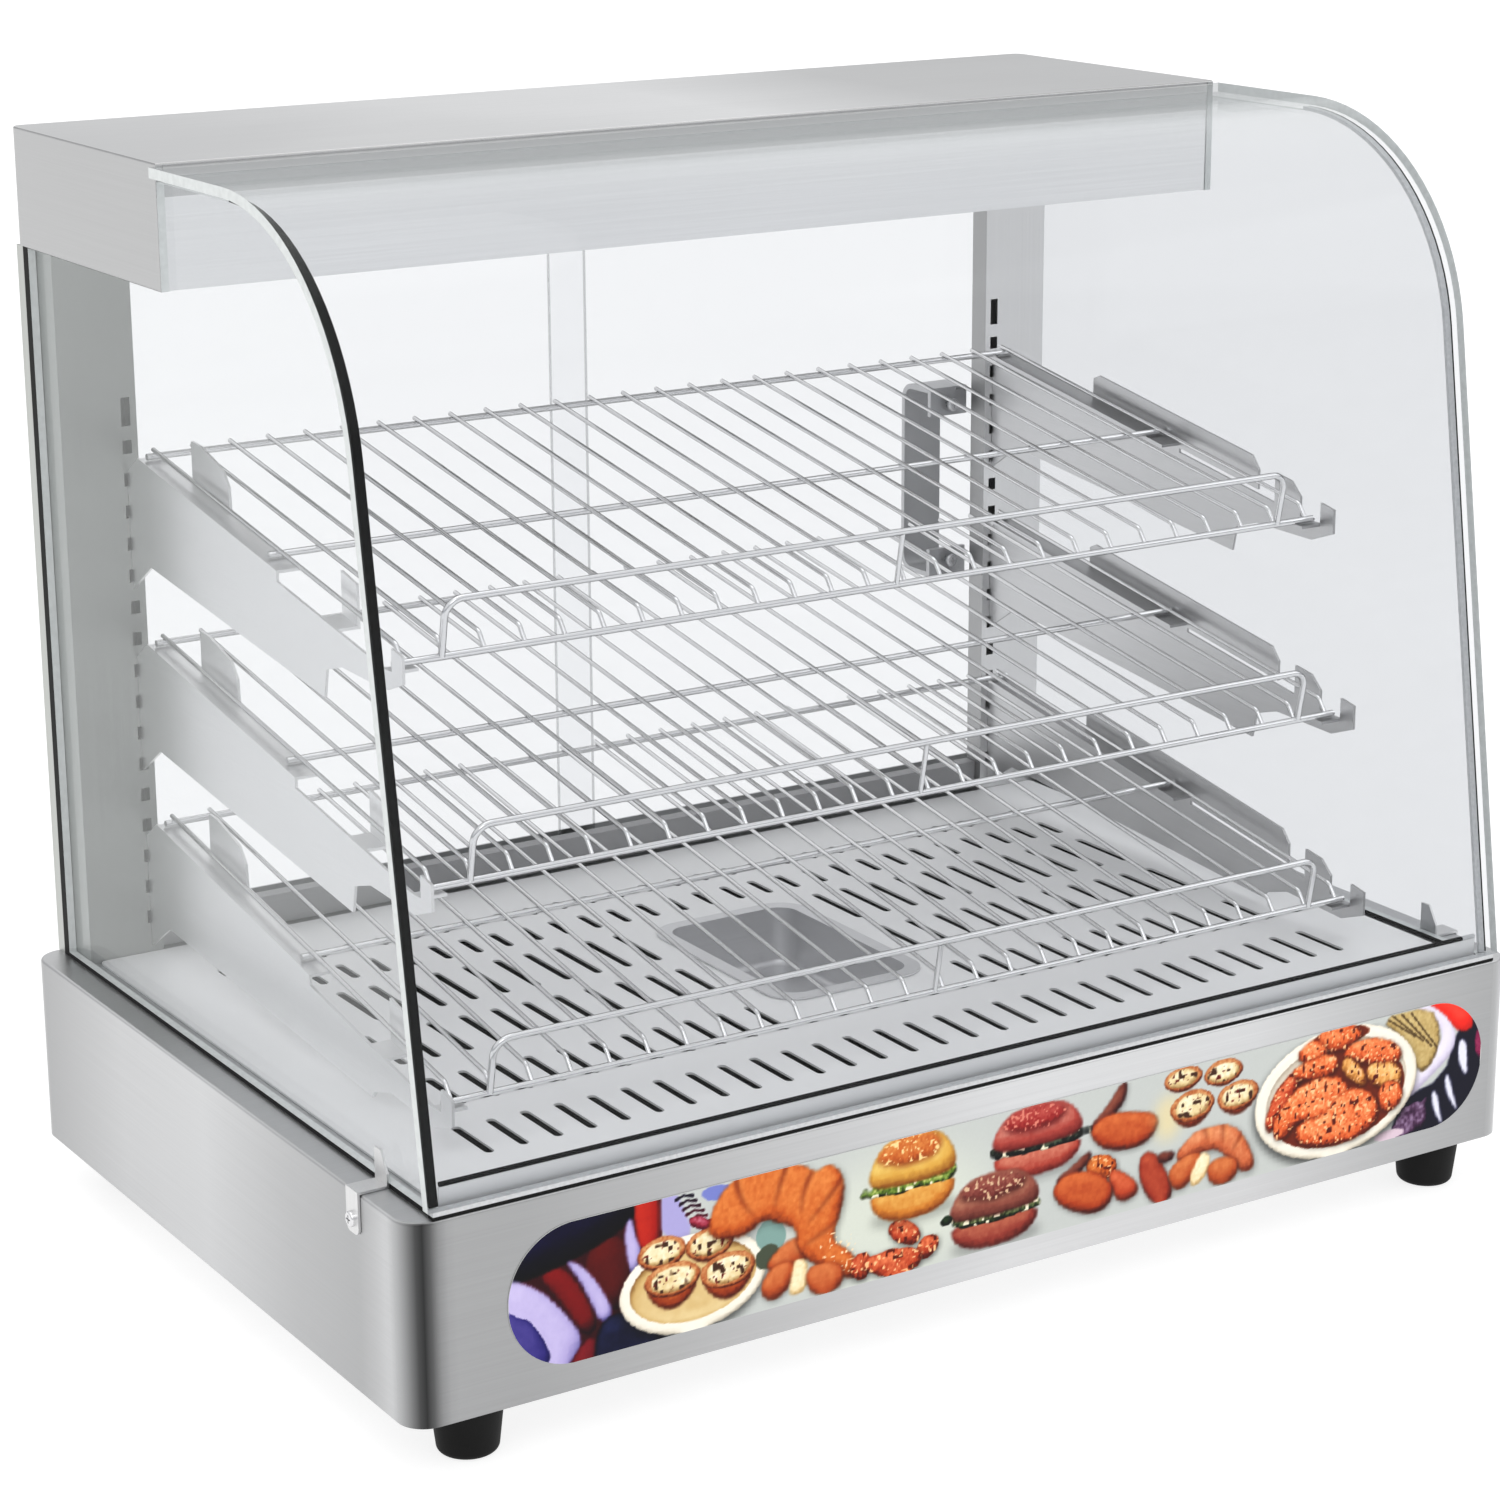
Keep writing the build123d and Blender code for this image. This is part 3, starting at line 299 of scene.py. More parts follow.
def glass(name, edge_axis, tint=GLASS_GREY, edge=(0.72, 0.75, 0.745), rim_share=1.0,
          mirror_base=0.007, painted_light_from=None):
    """Clear pane: see-through with a mirror share by angle, and a ground edge.

    edge_axis says which face normals belong to the rim: 'x' those along X, 'flat' all
    that aren't along X, 'door' all that aren't along Y. Beyond the given depth along Y, the
    pane is an opaque grey band with a faint glow of its own: painted light.
    """
    m, nt, out = new_material(name)
    source = add(nt, "TexCoord")
    axis = 1 if edge_axis == "door" else 0
    lined_up = calc(nt, "ABSOLUTE", face_normal(nt, source)[axis])
    is_edge = above(nt, lined_up, LOOKS_ALONG)
    if edge_axis != "x":
        is_edge = calc(nt, "SUBTRACT", 1.0, is_edge)
    is_edge = calc(nt, "MULTIPLY", is_edge, rim_share)
    smear = noise(nt, source.outputs["Object"], 4.0, 5.0)
    rough = calc(nt, "MULTIPLY_ADD", smear, 0.012, 0.0)
    clear = add(nt, "BsdfTransparent", {"Color": tint}).outputs[0]
    shine = add(nt, "BsdfGlossy", {"Color": (0.95, 0.97, 0.96), "Roughness": rough}).outputs[0]
    grazing = add(nt, "LayerWeight", {"Blend": 0.5}).outputs["Facing"]
    mirror = calc(nt, "MULTIPLY_ADD", calc(nt, "POWER", grazing, 5.0), 0.90, mirror_base)
    pane = add(nt, "MixShader", {0: mirror, 1: clear, 2: shine}).outputs[0]
    chip = noise(nt, source.outputs["Object"], 260.0, 3.0)
    dark = tuple(c * 0.88 for c in edge)
    ground = ramp_node(nt, chip, [(0.3, dark), (0.7, edge)])
    rim = add(nt, "BsdfPrincipled", {"Base Color": ground, "Roughness": 0.22}).outputs[0]
    whole = add(nt, "MixShader", {0: is_edge, 1: pane, 2: rim}).outputs[0]
    # Painted light: past this depth the pane is an opaque grey band that glows faintly.
    if painted_light_from:
        depth = add(nt, "SeparateXYZ", {0: source.outputs["Object"]}).outputs[1]
        in_painted_light_band = above(nt, depth, painted_light_from)
        grey = ramp_node(nt, chip, [(0.3, (0.46, 0.46, 0.465)), (0.7, (0.50, 0.50, 0.505))])
        painted_light_band = add(nt, "BsdfPrincipled", {"Base Color": grey, "Roughness": 0.6,
                                          "Emission Color": grey, "Emission Strength": 0.40})
        whole = add(nt, "MixShader", {0: in_painted_light_band, 1: whole, 2: painted_light_band.outputs[0]}).outputs[0]
    nt.links.new(whole, out.inputs[0])
    return m


def ramp_over(nt, value, stops):
    """A ramp whose stops are given in millimetres of the value."""
    low, high = stops[0][0], stops[-1][0]
    place = calc(nt, "DIVIDE", calc(nt, "SUBTRACT", value, low * MM), (high - low) * MM)
    return ramp_node(nt, place, [((at - low) / (high - low), tone) for at, tone in stops])


def corner_shade(nt, source, split):
    """Painted shade and painted reflection on the base: a dark bend at the front left corner, a
    light band beside it, and the front brightest at its middle; the faces turned away from the
    front and left get one even painted shade. The distance runs along the front from the
    corner, and is negative along the left side."""
    nx, ny, _ = face_normal(nt, source)
    along = calc(nt, "SUBTRACT", split.outputs[0], split.outputs[1])
    along = calc(nt, "ADD", along, BASE_CORNER[1] - BASE_CORNER[0])
    tone = ramp_over(nt, along, [
        (-440, 0.56), (-318, 0.84), (-218, 0.91), (-118, 0.71), (-50, 0.64), (-34, 0.74),
        (-20, 0.88), (-9, 0.58), (-3, 0.32), (3, 0.10), (8, 0.045), (10, 0.09), (14, 0.36),
        (21, 0.57), (60, 0.57), (130, 0.66), (330, 1.0), (480, 0.95), (580, 0.70), (660, 0.56)])
    seen = calc(nt, "MULTIPLY", calc(nt, "ADD", nx, ny), -1.0)
    seen = add(nt, "Clamp", {0: seen}).outputs[0]
    return mixed(nt, seen, (0.85, 0.85, 0.85), tone)


def roof_shade(nt, source, split):
    """The roof's front has a darker band over the glass; its sides and back carry painted shade,
    and its top a painted reflection that is lightest near the middle."""
    nx, ny, nz = face_normal(nt, source)
    front = below(nt, ny, -LOOKS_ALONG)
    high = above(nt, split.outputs[2], ROOF_BAND_Z)
    side = above(nt, calc(nt, "ABSOLUTE", nx), LOOKS_ALONG)
    rear = above(nt, ny, LOOKS_ALONG)
    top = above(nt, nz, LOOKS_ALONG)
    across = ramp_over(nt, split.outputs[0], [(-315, 0.67), (-240, 0.72), (-150, 0.79),
                                              (20, 0.88), (150, 0.62), (315, 0.60)])
    tone = mixed(nt, top, WHITE, across)
    for where, loss in ((both(nt, front, high), -0.38), (side, -0.46), (rear, -0.36)):
        tone = calc(nt, "MULTIPLY", calc(nt, "MULTIPLY_ADD", where, loss, 1.0), tone)
    return tone


def plate_shade(across, edge, rear=None):
    """Painted light and shade by face direction: one tone for the faces that look along X, one
    for the others, and one for the back.
    """
    def shade(nt, source, split):
        nx, ny, _ = face_normal(nt, source)
        tone = ramp_node(nt, calc(nt, "ABSOLUTE", nx), [(0.3, edge), (0.7, across)])
        return mixed(nt, above(nt, ny, LOOKS_ALONG), tone, (rear or edge,) * 3)
    return shade


def dial_marks(nt, split):
    """Eleven plain ticks round the knob, from the top through three quarters of a turn."""
    dx = calc(nt, "SUBTRACT", split.outputs[0], KNOB_AT[0])
    dz = calc(nt, "SUBTRACT", split.outputs[2], KNOB_AT[1])
    square = calc(nt, "ADD", calc(nt, "MULTIPLY", dx, dx), calc(nt, "MULTIPLY", dz, dz))
    radius = calc(nt, "SQRT", square)
    angle = calc(nt, "ARCTAN2", calc(nt, "MULTIPLY", dx, -1.0), dz)
    angle = calc(nt, "WRAP", angle, radians(355), radians(-5))
    ring = calc(nt, "COMPARE", radius, TICK_RADIUS, TICK_LENGTH / 2)
    swept = below(nt, angle, radians(KNOB_TURN + 2))
    off = calc(nt, "PINGPONG", calc(nt, "ABSOLUTE", angle), radians(KNOB_TURN / 10) / 2)
    tick = below(nt, calc(nt, "MULTIPLY", off, radius), TICK_WIDTH / 2)
    return both(nt, both(nt, ring, swept), tick)


def pointer_line(nt, split):
    """A pale line from the rim of the knob towards its middle."""
    near_axis = calc(nt, "COMPARE", split.outputs[0], KNOB_AT[0], POINTER_WIDTH / 2)
    outer = above(nt, split.outputs[2], KNOB_AT[1] + POINTER_START)
    return both(nt, near_axis, outer)


def lamp_glass():
    """The lighting tube: milky glass with a weak glow."""
    m, nt, out = new_material("lamp_glass")
    coords = add(nt, "TexCoord").outputs["Object"]
    cloud = noise(nt, coords, 60.0, 2.0)
    colour = ramp_node(nt, cloud, [(0.3, (0.88, 0.88, 0.86)), (0.7, (0.96, 0.96, 0.94))])
    shader = add(nt, "BsdfPrincipled", {"Base Color": colour, "Roughness": 0.3,
                                        "Emission Color": (1.0, 0.97, 0.92),
                                        "Emission Strength": 0.6})
    nt.links.new(shader.outputs[0], out.inputs[0])
    return m


def make_materials():
    """All finishes by a short key."""
    return {
        "base": metal("casing_base", (0.655, 0.660, 0.668), 0.33, shade=corner_shade),
        "roof": metal("casing_roof", (0.88, 0.885, 0.89), 0.32, shade=roof_shade),
        "plate": metal("plate_steel", (0.45, 0.45, 0.455), 0.42),
        # Near black: painted shade for the space under the floor's slots.
        "dark": metal("pan_painted_shade", (0.05, 0.05, 0.05), 0.55, contrast=0.2),
        "floor": metal("floor_steel", (0.97, 0.97, 0.97), 0.42, contrast=0.03, metallic=0.15),
        "tray": metal("tray_steel", (0.74, 0.74, 0.75), 0.34, metallic=0.8),
        "ceiling": metal("ceiling_steel", (0.80, 0.80, 0.80), 0.33, along="x"),
        # One steel in two copies: painted shade on the left post, painted light on the right one.
        "post_painted_shade": metal("post_steel", (0.345, 0.355, 0.34), 0.36, along="z", contrast=0.14,
                      shade=plate_shade(1.45, 1.0, 1.75)),
        "post_right": metal("post_steel_right_painted_light", (0.76, 0.76, 0.76), 0.36, along="z",
                            shade=plate_shade(0.58, 1.0, 0.80)),
        # One steel in two copies: painted light on the left brackets, painted shade on the right
        # ones.
        "bracket_left": metal("bracket_steel_left", (0.95, 0.95, 0.95), 0.34, along="y",
                              contrast=0.05, shade=plate_shade(1.0, 0.86)),
        "bracket_painted_shade": metal("bracket_steel_painted_shade", (0.66, 0.66, 0.665), 0.34, along="y",
                               contrast=0.08, shade=plate_shade(1.0, 0.66)),
        "panel": metal("control_steel", (0.72, 0.72, 0.72), 0.34, along="x", marks=dial_marks),
        "clip": metal("clip_steel", (0.72, 0.72, 0.72), 0.3, along="z"),
        "handle": metal("handle_steel", (0.60, 0.60, 0.61), 0.38, along="z", metallic=0.6),
        "screw": metal("screw_steel", (0.75, 0.75, 0.76), 0.22, along="z", contrast=0.15),
        "wire": metal("shelf_chrome", (0.90, 0.90, 0.905), 0.12, along="y", contrast=0.05,
                      bump=0.03, edge_tint=0.0),
        "element": metal("element_sheath", (0.20, 0.19, 0.18), 0.5),
        "strip": metal("strip_aluminium", (0.86, 0.865, 0.87), 0.45, along="x", contrast=0.05,
                       metallic=0.4),
        "track": metal("track_aluminium", (0.60, 0.605, 0.61), 0.42, along="x", contrast=0.06,
                       metallic=0.7),
        # Darker than the track: painted shade on the sill.
        "sill": metal("sill_metal", (0.36, 0.36, 0.365), 0.42, along="x", metallic=0.4),
        "front_glass": glass("front_glass", "x", painted_light_from=PAINTED_LIGHT_BAND_Y),
        "side_glass": glass("side_glass", "flat"),
        "door_glass": glass("door_glass", "door", tint=(0.974, 0.976, 0.979),
                            edge=(0.34, 0.36, 0.36), rim_share=0.45),
        "rubber": plastic("black_rubber", (0.005, 0.005, 0.005), 0.6, specular=0.12),
        "seal": seal_rubber(),
        "black": plastic("black_plastic", (0.02, 0.02, 0.02), 0.45),
        "knob": plastic("knob_plastic", (0.02, 0.02, 0.02), 0.45, marks=pointer_line),
        "rocker": plastic("rocker_plastic", (0.03, 0.03, 0.03), 0.25, bump=0.02),
        "white": plastic("white_plastic", (0.62, 0.63, 0.62), 0.4, lighter=1.05),
        "lens": plastic("lamp_lens", (0.75, 0.22, 0.03), 0.15, bump=0.02),
        "lamp": lamp_glass(),
    }


# ---------------------------------------------------------------- printed picture on the base
PANEL_X = (-280.0, 310.0)     # millimetres along the front
PANEL_Z = (39.0, 109.0)
PRINT_STEP = 0.5
PRINT_PAPER = (205, 208, 205)
PRINT_ROWS, PRINT_COLUMN = 117, 0.6     # the mesh that carries it
PRINT_INSET = (0.2, 0.1)      # from the panel's ends and from its long edges
PRINT_LIFT = 0.00005          # metres in front of the panel


class Picture:
    """A raster in millimetres on which soft-edged, rounded shapes are laid over each other."""

    def __init__(self, x_range, z_range, step, paper):
        self.xs = np.arange(x_range[0], x_range[1] + step, step)
        self.zs = np.arange(z_range[0], z_range[1] + step, step)
        self.x, self.z = np.meshgrid(self.xs, self.zs)
        self.step = step
        self.rgb = np.ones(self.x.shape + (3,)) * np.array(paper, float)

    def noise(self, size, octaves=2, seed=0):
        """Smooth value noise, about 0 to 1, with features of the given size in millimetres."""
        total, weight = np.zeros(self.x.shape), 0.0
        for octave in range(octaves):
            cell = size / 2 ** octave
            rng = np.random.default_rng(seed * 10 + octave)
            u, v = (self.x - self.xs[0]) / cell, (self.z - self.zs[0]) / cell
            table = rng.random((int(v.max()) + 2, int(u.max()) + 2))
            i, j = u.astype(int), v.astype(int)
            fu, fv = u - i, v - j
            fu, fv = fu * fu * (3 - 2 * fu), fv * fv * (3 - 2 * fv)
            low = table[j, i] * (1 - fu) + table[j, i + 1] * fu
            high = table[j + 1, i] * (1 - fu) + table[j + 1, i + 1] * fu
            share = 0.5 ** octave
            total += (low * (1 - fv) + high * fv) * share
            weight += share
        return total / weight

    def soften(self, mask, mm):
        """Two running means in each direction, close to a Gaussian blur."""
        half = max(1, int(round(mm / self.step)))
        for _ in range(4):
            mask = mask.T
            total = np.cumsum(np.pad(mask, ((half + 1, half), (0, 0)), "edge"), axis=0)
            mask = (total[2 * half + 1:] - total[:-2 * half - 1]) / (2 * half + 1)
        return mask

    def oval(self, cx, cz, rx, rz, turn=0.0, power=2.0, wobble=0.0, seed=1):
        """An ellipse, squarer with a higher power, turned by degrees, its rim uneven."""
        a = np.radians(turn)
        u = ((self.x - cx) * np.cos(a) + (self.z - cz) * np.sin(a)) / rx
        v = ((self.z - cz) * np.cos(a) - (self.x - cx) * np.sin(a)) / rz
        r = (np.abs(u) ** power + np.abs(v) ** power) ** (1 / power)
        if wobble:
            r = r + (self.noise(6, 2, seed) - 0.5) * wobble
        return np.clip((1 - r) * min(rx, rz) / self.step + 0.5, 0, 1)

    def outline(self, points, rounds=2, wobble=0.0, seed=1):
        """A closed outline with its corners rounded off by corner cutting."""
        p = np.array(points, float)
        for _ in range(rounds):
            q = np.roll(p, -1, axis=0)
            p = np.stack([0.75 * p + 0.25 * q, 0.25 * p + 0.75 * q], 1).reshape(-1, 2)
        x, z = self.x, self.z
        if wobble:
            x = x + (self.noise(5, 2, seed) - 0.5) * wobble
            z = z + (self.noise(5, 2, seed + 1) - 0.5) * wobble
        near = self.window(p)
        x, z = x[near], z[near]
        inside = np.zeros(x.shape, bool)
        q = np.roll(p, -1, axis=0)
        for (ax, az), (bx, bz) in zip(p, q):
            if az != bz:
                crosses = (az > z) != (bz > z)
                inside ^= crosses & (x < (bx - ax) * (z - az) / (bz - az) + ax)
        mask = np.zeros(self.x.shape)
        mask[near] = inside
        return self.soften(mask, self.step)

    def window(self, points, room=5.0):
        """The rows and columns that hold the points."""
        x, z = np.array(points, float).T
        rows = np.searchsorted(self.zs, (z.min() - room, z.max() + room))
        columns = np.searchsorted(self.xs, (x.min() - room, x.max() + room))
        return slice(*rows), slice(*columns)

    def stroke(self, points, width, taper=0.0):
        """A line of the given width through the points, thinner towards its end with taper."""
        whole, near = np.zeros(self.x.shape), self.window(points)
        x, z, best = self.x[near], self.z[near], whole[near]
        n = len(points) - 1
        for k in range(n):
            (ax, az), (bx, bz) = points[k], points[k + 1]
            length2 = (bx - ax) ** 2 + (bz - az) ** 2
            t = np.clip(((x - ax) * (bx - ax) + (z - az) * (bz - az)) / length2, 0, 1)
            d = np.hypot(x - ax - t * (bx - ax), z - az - t * (bz - az))
            w = width * (1 - taper * (k + t) / n) / 2
            best = np.maximum(best, np.clip((w - d) / self.step + 0.5, 0, 1))
        whole[near] = best
        return whole

    def lay(self, mask, colour):
        """Paints one colour where the mask is."""
        colour = np.asarray(colour, float)
        self.rgb = self.rgb * (1 - mask[..., None]) + colour * mask[..., None]

    def tone(self, mask, dark, mid, light, depth=3.0, grain=(1.5, 0.25), seed=3,
             lean=(-0.35, 0.9)):
        """Fills a shape as a rounded body lit from above, with a grainy surface."""
        body = self.soften(mask, depth)
        dz, dx = np.gradient(body, self.step)
        slope = -(dx * lean[0] + dz * lean[1]) * depth
        # A middle tone, the side that looks at the light, the round middle, and a dark rim.
        value = 0.60 + 0.85 * slope + 0.55 * (body - 0.80) - 0.40 * (1 - self.soften(mask, 1.0))
        value = value + (self.noise(grain[0], 2, seed) - 0.5) * 2 * grain[1]
        value = value + (self.noise(grain[0] * 6, 2, seed + 50) - 0.5) * grain[1]
        value = np.clip(value, 0, 1)[..., None]
        dark, mid, light = (np.array(c, float) for c in (dark, mid, light))
        low = dark + (mid - dark) * np.clip(value / 0.5, 0, 1)
        self.lay(mask, low + (light - mid) * np.clip(value / 0.5 - 1, 0, 1))

    def sample(self, x, z):
        """Linear colours with alpha at the given places."""
        column = np.clip(np.rint((x - self.xs[0]) / self.step).astype(int), 0, len(self.xs) - 1)
        row = np.clip(np.rint((z - self.zs[0]) / self.step).astype(int), 0, len(self.zs) - 1)
        srgb = np.clip(self.rgb[row, column] / 255, 0, 1)
        linear = np.where(srgb < 0.04045, srgb / 12.92, ((srgb + 0.055) / 1.055) ** 2.4)
        return np.concatenate([linear, np.ones(linear.shape[:2] + (1,))], -1)

    def specks(self, mask, size, share, colour, seed):
        """Scattered flecks of one colour inside a shape."""
        n = self.noise(size, 1, seed)
        cut = np.quantile(n[mask > 0.5], 1 - share) if (mask > 0.5).any() else 1.0
        self.lay(mask * np.clip((n - cut) * 12, 0, 1), colour)

    def shadow(self, mask, mm, strength, shift=(1.0, -1.5)):
        """Darkens what lies under a shape, a little beside and below it."""
        down, across = int(-shift[1] / self.step), int(shift[0] / self.step)
        cast = np.roll(self.soften(mask, mm), across, 1)
        cast = np.vstack([cast[down:], np.zeros((down, cast.shape[1]))])
        self.rgb = self.rgb * (1 - strength * cast[..., None])


def banded_cloth(p):
    """Left end: folded cloth in plain dark, red and pale bands."""
    p.lay(p.outline([(-290, 25), (-290, 120), (-199, 120), (-199, 88), (-206, 74), (-212, 52),
                     (-200, 40), (-196, 25)], 0), (72, 20, 30))
    p.tone(p.outline([(-242, 92), (-220, 100), (-214, 74), (-222, 56), (-236, 70)]),
           (45, 12, 22), (96, 26, 28), (128, 34, 30), 5, (2, 0.05))
    p.tone(p.outline([(-266, 88), (-250, 90), (-232, 56), (-240, 48), (-254, 72)]),
           (40, 12, 30), (130, 28, 34), (168, 40, 40), 4, (2, 0.05))
    p.tone(p.outline([(-290, 84), (-276, 112), (-205, 112), (-219, 99), (-236, 93), (-250, 89),
                      (-266, 86)]), (6, 5, 16), (14, 12, 40), (34, 24, 92), 7, (2, 0.05), 5)
    pale = ((118, 112, 168), (190, 180, 220), (222, 214, 240))
    p.tone(p.outline([(-290, 90), (-276, 87), (-264, 80), (-252, 67), (-240, 49), (-249, 38),
                      (-262, 32), (-290, 36)]), *pale, 5, (3, 0.06))
    p.tone(p.oval(-273, 55, 9, 19, 35, wobble=0.3), (30, 24, 84), (70, 62, 138), (120, 110, 178),
           4, (3, 0.08))
    p.tone(p.outline([(-251, 91), (-243, 88), (-233, 76), (-224, 58), (-232, 54), (-237, 66),
                      (-243, 79)]), *pale, 2.5, (3, 0.06))
    p.tone(p.outline([(-219, 100), (-215, 105), (-213, 95), (-209, 86), (-214, 72), (-218, 82)]),
           *pale, 2.5, (3, 0.06))
    p.tone(p.outline([(-213, 114), (-199, 114), (-198.5, 86), (-210, 85), (-213, 98)], 1),
           (92, 22, 30), (182, 44, 36), (214, 74, 52), 3, (2, 0.06), lean=(-0.9, 0.1))
    p.lay(p.outline([(-199, 114), (-192, 114), (-180, 84), (-199, 87)], 1), (186, 180, 220))
    for k in range(6):
        x, z = -191 + 1.9 * k, 106.5 - 2.9 * k
        p.lay(p.stroke([(x, z), (x + 4, z + 1.4), (x + 9, z + 0.2)], 1.5), (34 + 16 * k, 26, 48))
    p.tone(p.oval(-178, 92, 6.5, 3, -25), (90, 20, 44), (176, 66, 88), (226, 160, 176), 1.5)
    p.lay(p.oval(-168, 105, 9, 4, -8), (142, 150, 208))
    p.tone(p.outline([(-252, 34), (-240, 50), (-234, 48), (-234, 34)], 1), (60, 12, 26),
           (120, 26, 42), (160, 50, 60), 3, (2, 0.06))
    p.tone(p.outline([(-236, 34), (-235, 48), (-230, 57), (-219, 58), (-208, 47), (-190, 34)]),
           (6, 8, 26), (16, 20, 50), (52, 60, 104), 4, (4, 0.12), 8)


def patterned_cloth(p):
    """Right end: dark cloth with plain pale leaf shapes, a red corner and a pale band."""
    p.lay(p.outline([(244, 30), (254, 60), (284, 66), (291, 90), (302, 98), (325, 90), (325, 25),
                     (244, 25)], 1), (26, 26, 52))
    p.tone(p.oval(262, 48, 12, 9, 20, wobble=0.5), (40, 20, 48), (92, 60, 92), (190, 170, 196), 2,
           (2, 0.35))
    p.tone(p.outline([(266, 114), (290, 116), (306, 92), (296, 88), (284, 98)]), (200, 34, 30),
           (240, 62, 46), (250, 128, 112), 4, (3, 0.05))
    p.tone(p.oval(309, 80, 4, 9, 10), (60, 20, 60), (146, 40, 92), (190, 90, 130), 2)
    pale = ((196, 188, 208), (228, 222, 236), (246, 242, 248))
    p.tone(p.outline([(258, 112), (272, 110), (286, 99), (292, 88), (289, 78), (270, 66),
                      (258, 58), (250, 66), (262, 72), (278, 82), (282, 92), (274, 101)]),
           *pale, 3, (3, 0.06))
    for leaf in ([(294, 86), (298.5, 84), (300, 76), (301, 62), (295, 70), (293, 78)],
                 [(285, 68), (288, 66), (291, 56), (296, 43), (289, 52), (285, 60)],
                 [(276, 61), (280, 58), (282, 49), (285, 38), (279, 46), (276, 54)]):
        p.lay(p.outline(leaf), (232, 232, 242))
    p.lay(p.oval(247, 41.5, 10, 3), (224, 206, 216))


def tart(p, cx, cz, rx, rz, drop, seed):
    """A small open pastry cup with a speckled filling."""
    cup = p.outline([(cx - rx, cz), (cx - rx * 0.72, cz - drop * 0.8), (cx, cz - drop * 1.25),
                     (cx + rx * 0.72, cz - drop * 0.8), (cx + rx, cz), (cx, cz + rz)])
    p.tone(cup, (84, 30, 18), (166, 78, 40), (206, 120, 66), 2.5, (1.5, 0.15), seed)
    p.tone(p.oval(cx, cz, rx, rz, 0, wobble=0.08, seed=seed), (96, 44, 28), (188, 116, 72),
           (232, 188, 140), 1.2, (1.2, 0.25), seed)
    heart = p.oval(cx, cz, rx * 0.80, rz * 0.74, 0, wobble=0.16, seed=seed + 1)
    p.tone(heart, (176, 142, 96), (232, 214, 170), (250, 244, 222), 1.5, (2.0, 0.3), seed + 2)
    p.specks(heart, 2.6, 0.22, (92, 62, 44), seed + 3)
    p.specks(heart, 1.6, 0.08, (120, 30, 26), seed + 4)


def plate(p, cx, cz, rx, rz, tones):
    """A round plate seen from the side, with a pale rim."""
    whole = p.oval(cx, cz, rx, rz)
    p.shadow(whole, 2.5, 0.55, (-0.5, -2.5))
    p.tone(whole, (186, 178, 164), (236, 230, 216), (252, 250, 244), 1.5, (3, 0.04))
    p.tone(p.oval(cx, cz + 0.6, rx * 0.86, rz * 0.80), *tones, 3, (4, 0.08), lean=(0.2, -0.8))


def burger(p, cx, z0, z1, half, bun, low_bun, filling, seed):
    """A round bun in two halves with a leafy filling between them."""
    def left(share):
        return cx - half * share

    def right(share):
        return cx + half * share

    waist = z0 + (z1 - z0) * 0.42
    height = z1 - z0
    p.shadow(p.oval(cx, z0 + 4, half, 5), 2.5, 0.20)
    base = p.outline([(left(0.98), waist), (left(0.94), z0 + height * 0.18), (left(0.5), z0),
                      (right(0.5), z0), (right(0.94), z0 + height * 0.18),
                      (right(0.98), waist)], 2)
    p.tone(base, *low_bun, 3.5, (2, 0.12), seed)
    band = p.oval(cx, waist + 1, half * 1.05, height * 0.11, 0, 3.0, 0.5, seed)
    p.tone(band, *filling, 1.2, (1.6, 0.55), seed + 1)
    p.specks(band, 2.4, 0.16, (240, 236, 214), seed + 2)
    shoulder, brow = waist + height * 0.28, z1 - height * 0.02
    dome = p.outline([(left(1), waist + 2), (left(0.98), shoulder), (left(0.62), brow),
                      (cx, z1 + height * 0.03), (right(0.62), brow), (right(0.98), shoulder),
                      (right(1), waist + 2), (right(0.5), waist), (left(0.5), waist)], 3)
    p.tone(dome, *bun[0], 4.5, (2, 0.08), seed + 3)
    crown = p.oval(cx - half * 0.05, waist + height * 0.40, half * 0.72, height * 0.17, 0,
                   wobble=0.25, seed=seed)
    p.tone(p.soften(crown, 1.5) * dome, *bun[1], 3, (1.2, 0.25), seed + 4)
    p.specks(crown * dome, 1.3, 0.20, bun[2], seed + 5)


def crusty(p, shapes, tones, seed, crumbs=(250, 206, 160), dents=(112, 40, 20)):
    """Fried pieces: each outline gets its own shaded body, dark dents and pale crumbs."""
    for k, mask in enumerate(shapes):
        p.shadow(mask, 1.5, 0.45, (0.8, -1.2))
        p.tone(mask, *tones, 3.0, (1.4, 0.30), seed + k)
        p.specks(mask, 2.2, 0.12, dents, seed + k + 20)
        p.specks(mask, 1.3, 0.14, crumbs, seed + k + 40)


def smooth_meat(p, points, seed, tones=((84, 30, 24), (186, 84, 42), (232, 148, 92))):
    """One glazed roast piece."""
    mask = p.outline(points)
    p.shadow(mask, 1.5, 0.30, (0.8, -1.2))
    p.tone(mask, *tones, 3.2, (2.5, 0.10), seed)


def arc(points, steps=8):
    """A smooth curve from the first to the last of three points, pulled by the middle one."""
    if len(points) == 2:
        points = (points[0], *points)
    (ax, az), (bx, bz), (cx, cz) = points
    ts = [k / steps for k in range(steps + 1)]
    return [((1 - t) ** 2 * ax + 2 * t * (1 - t) * bx + t * t * cx,
             (1 - t) ** 2 * az + 2 * t * (1 - t) * bz + t * t * cz) for t in ts]


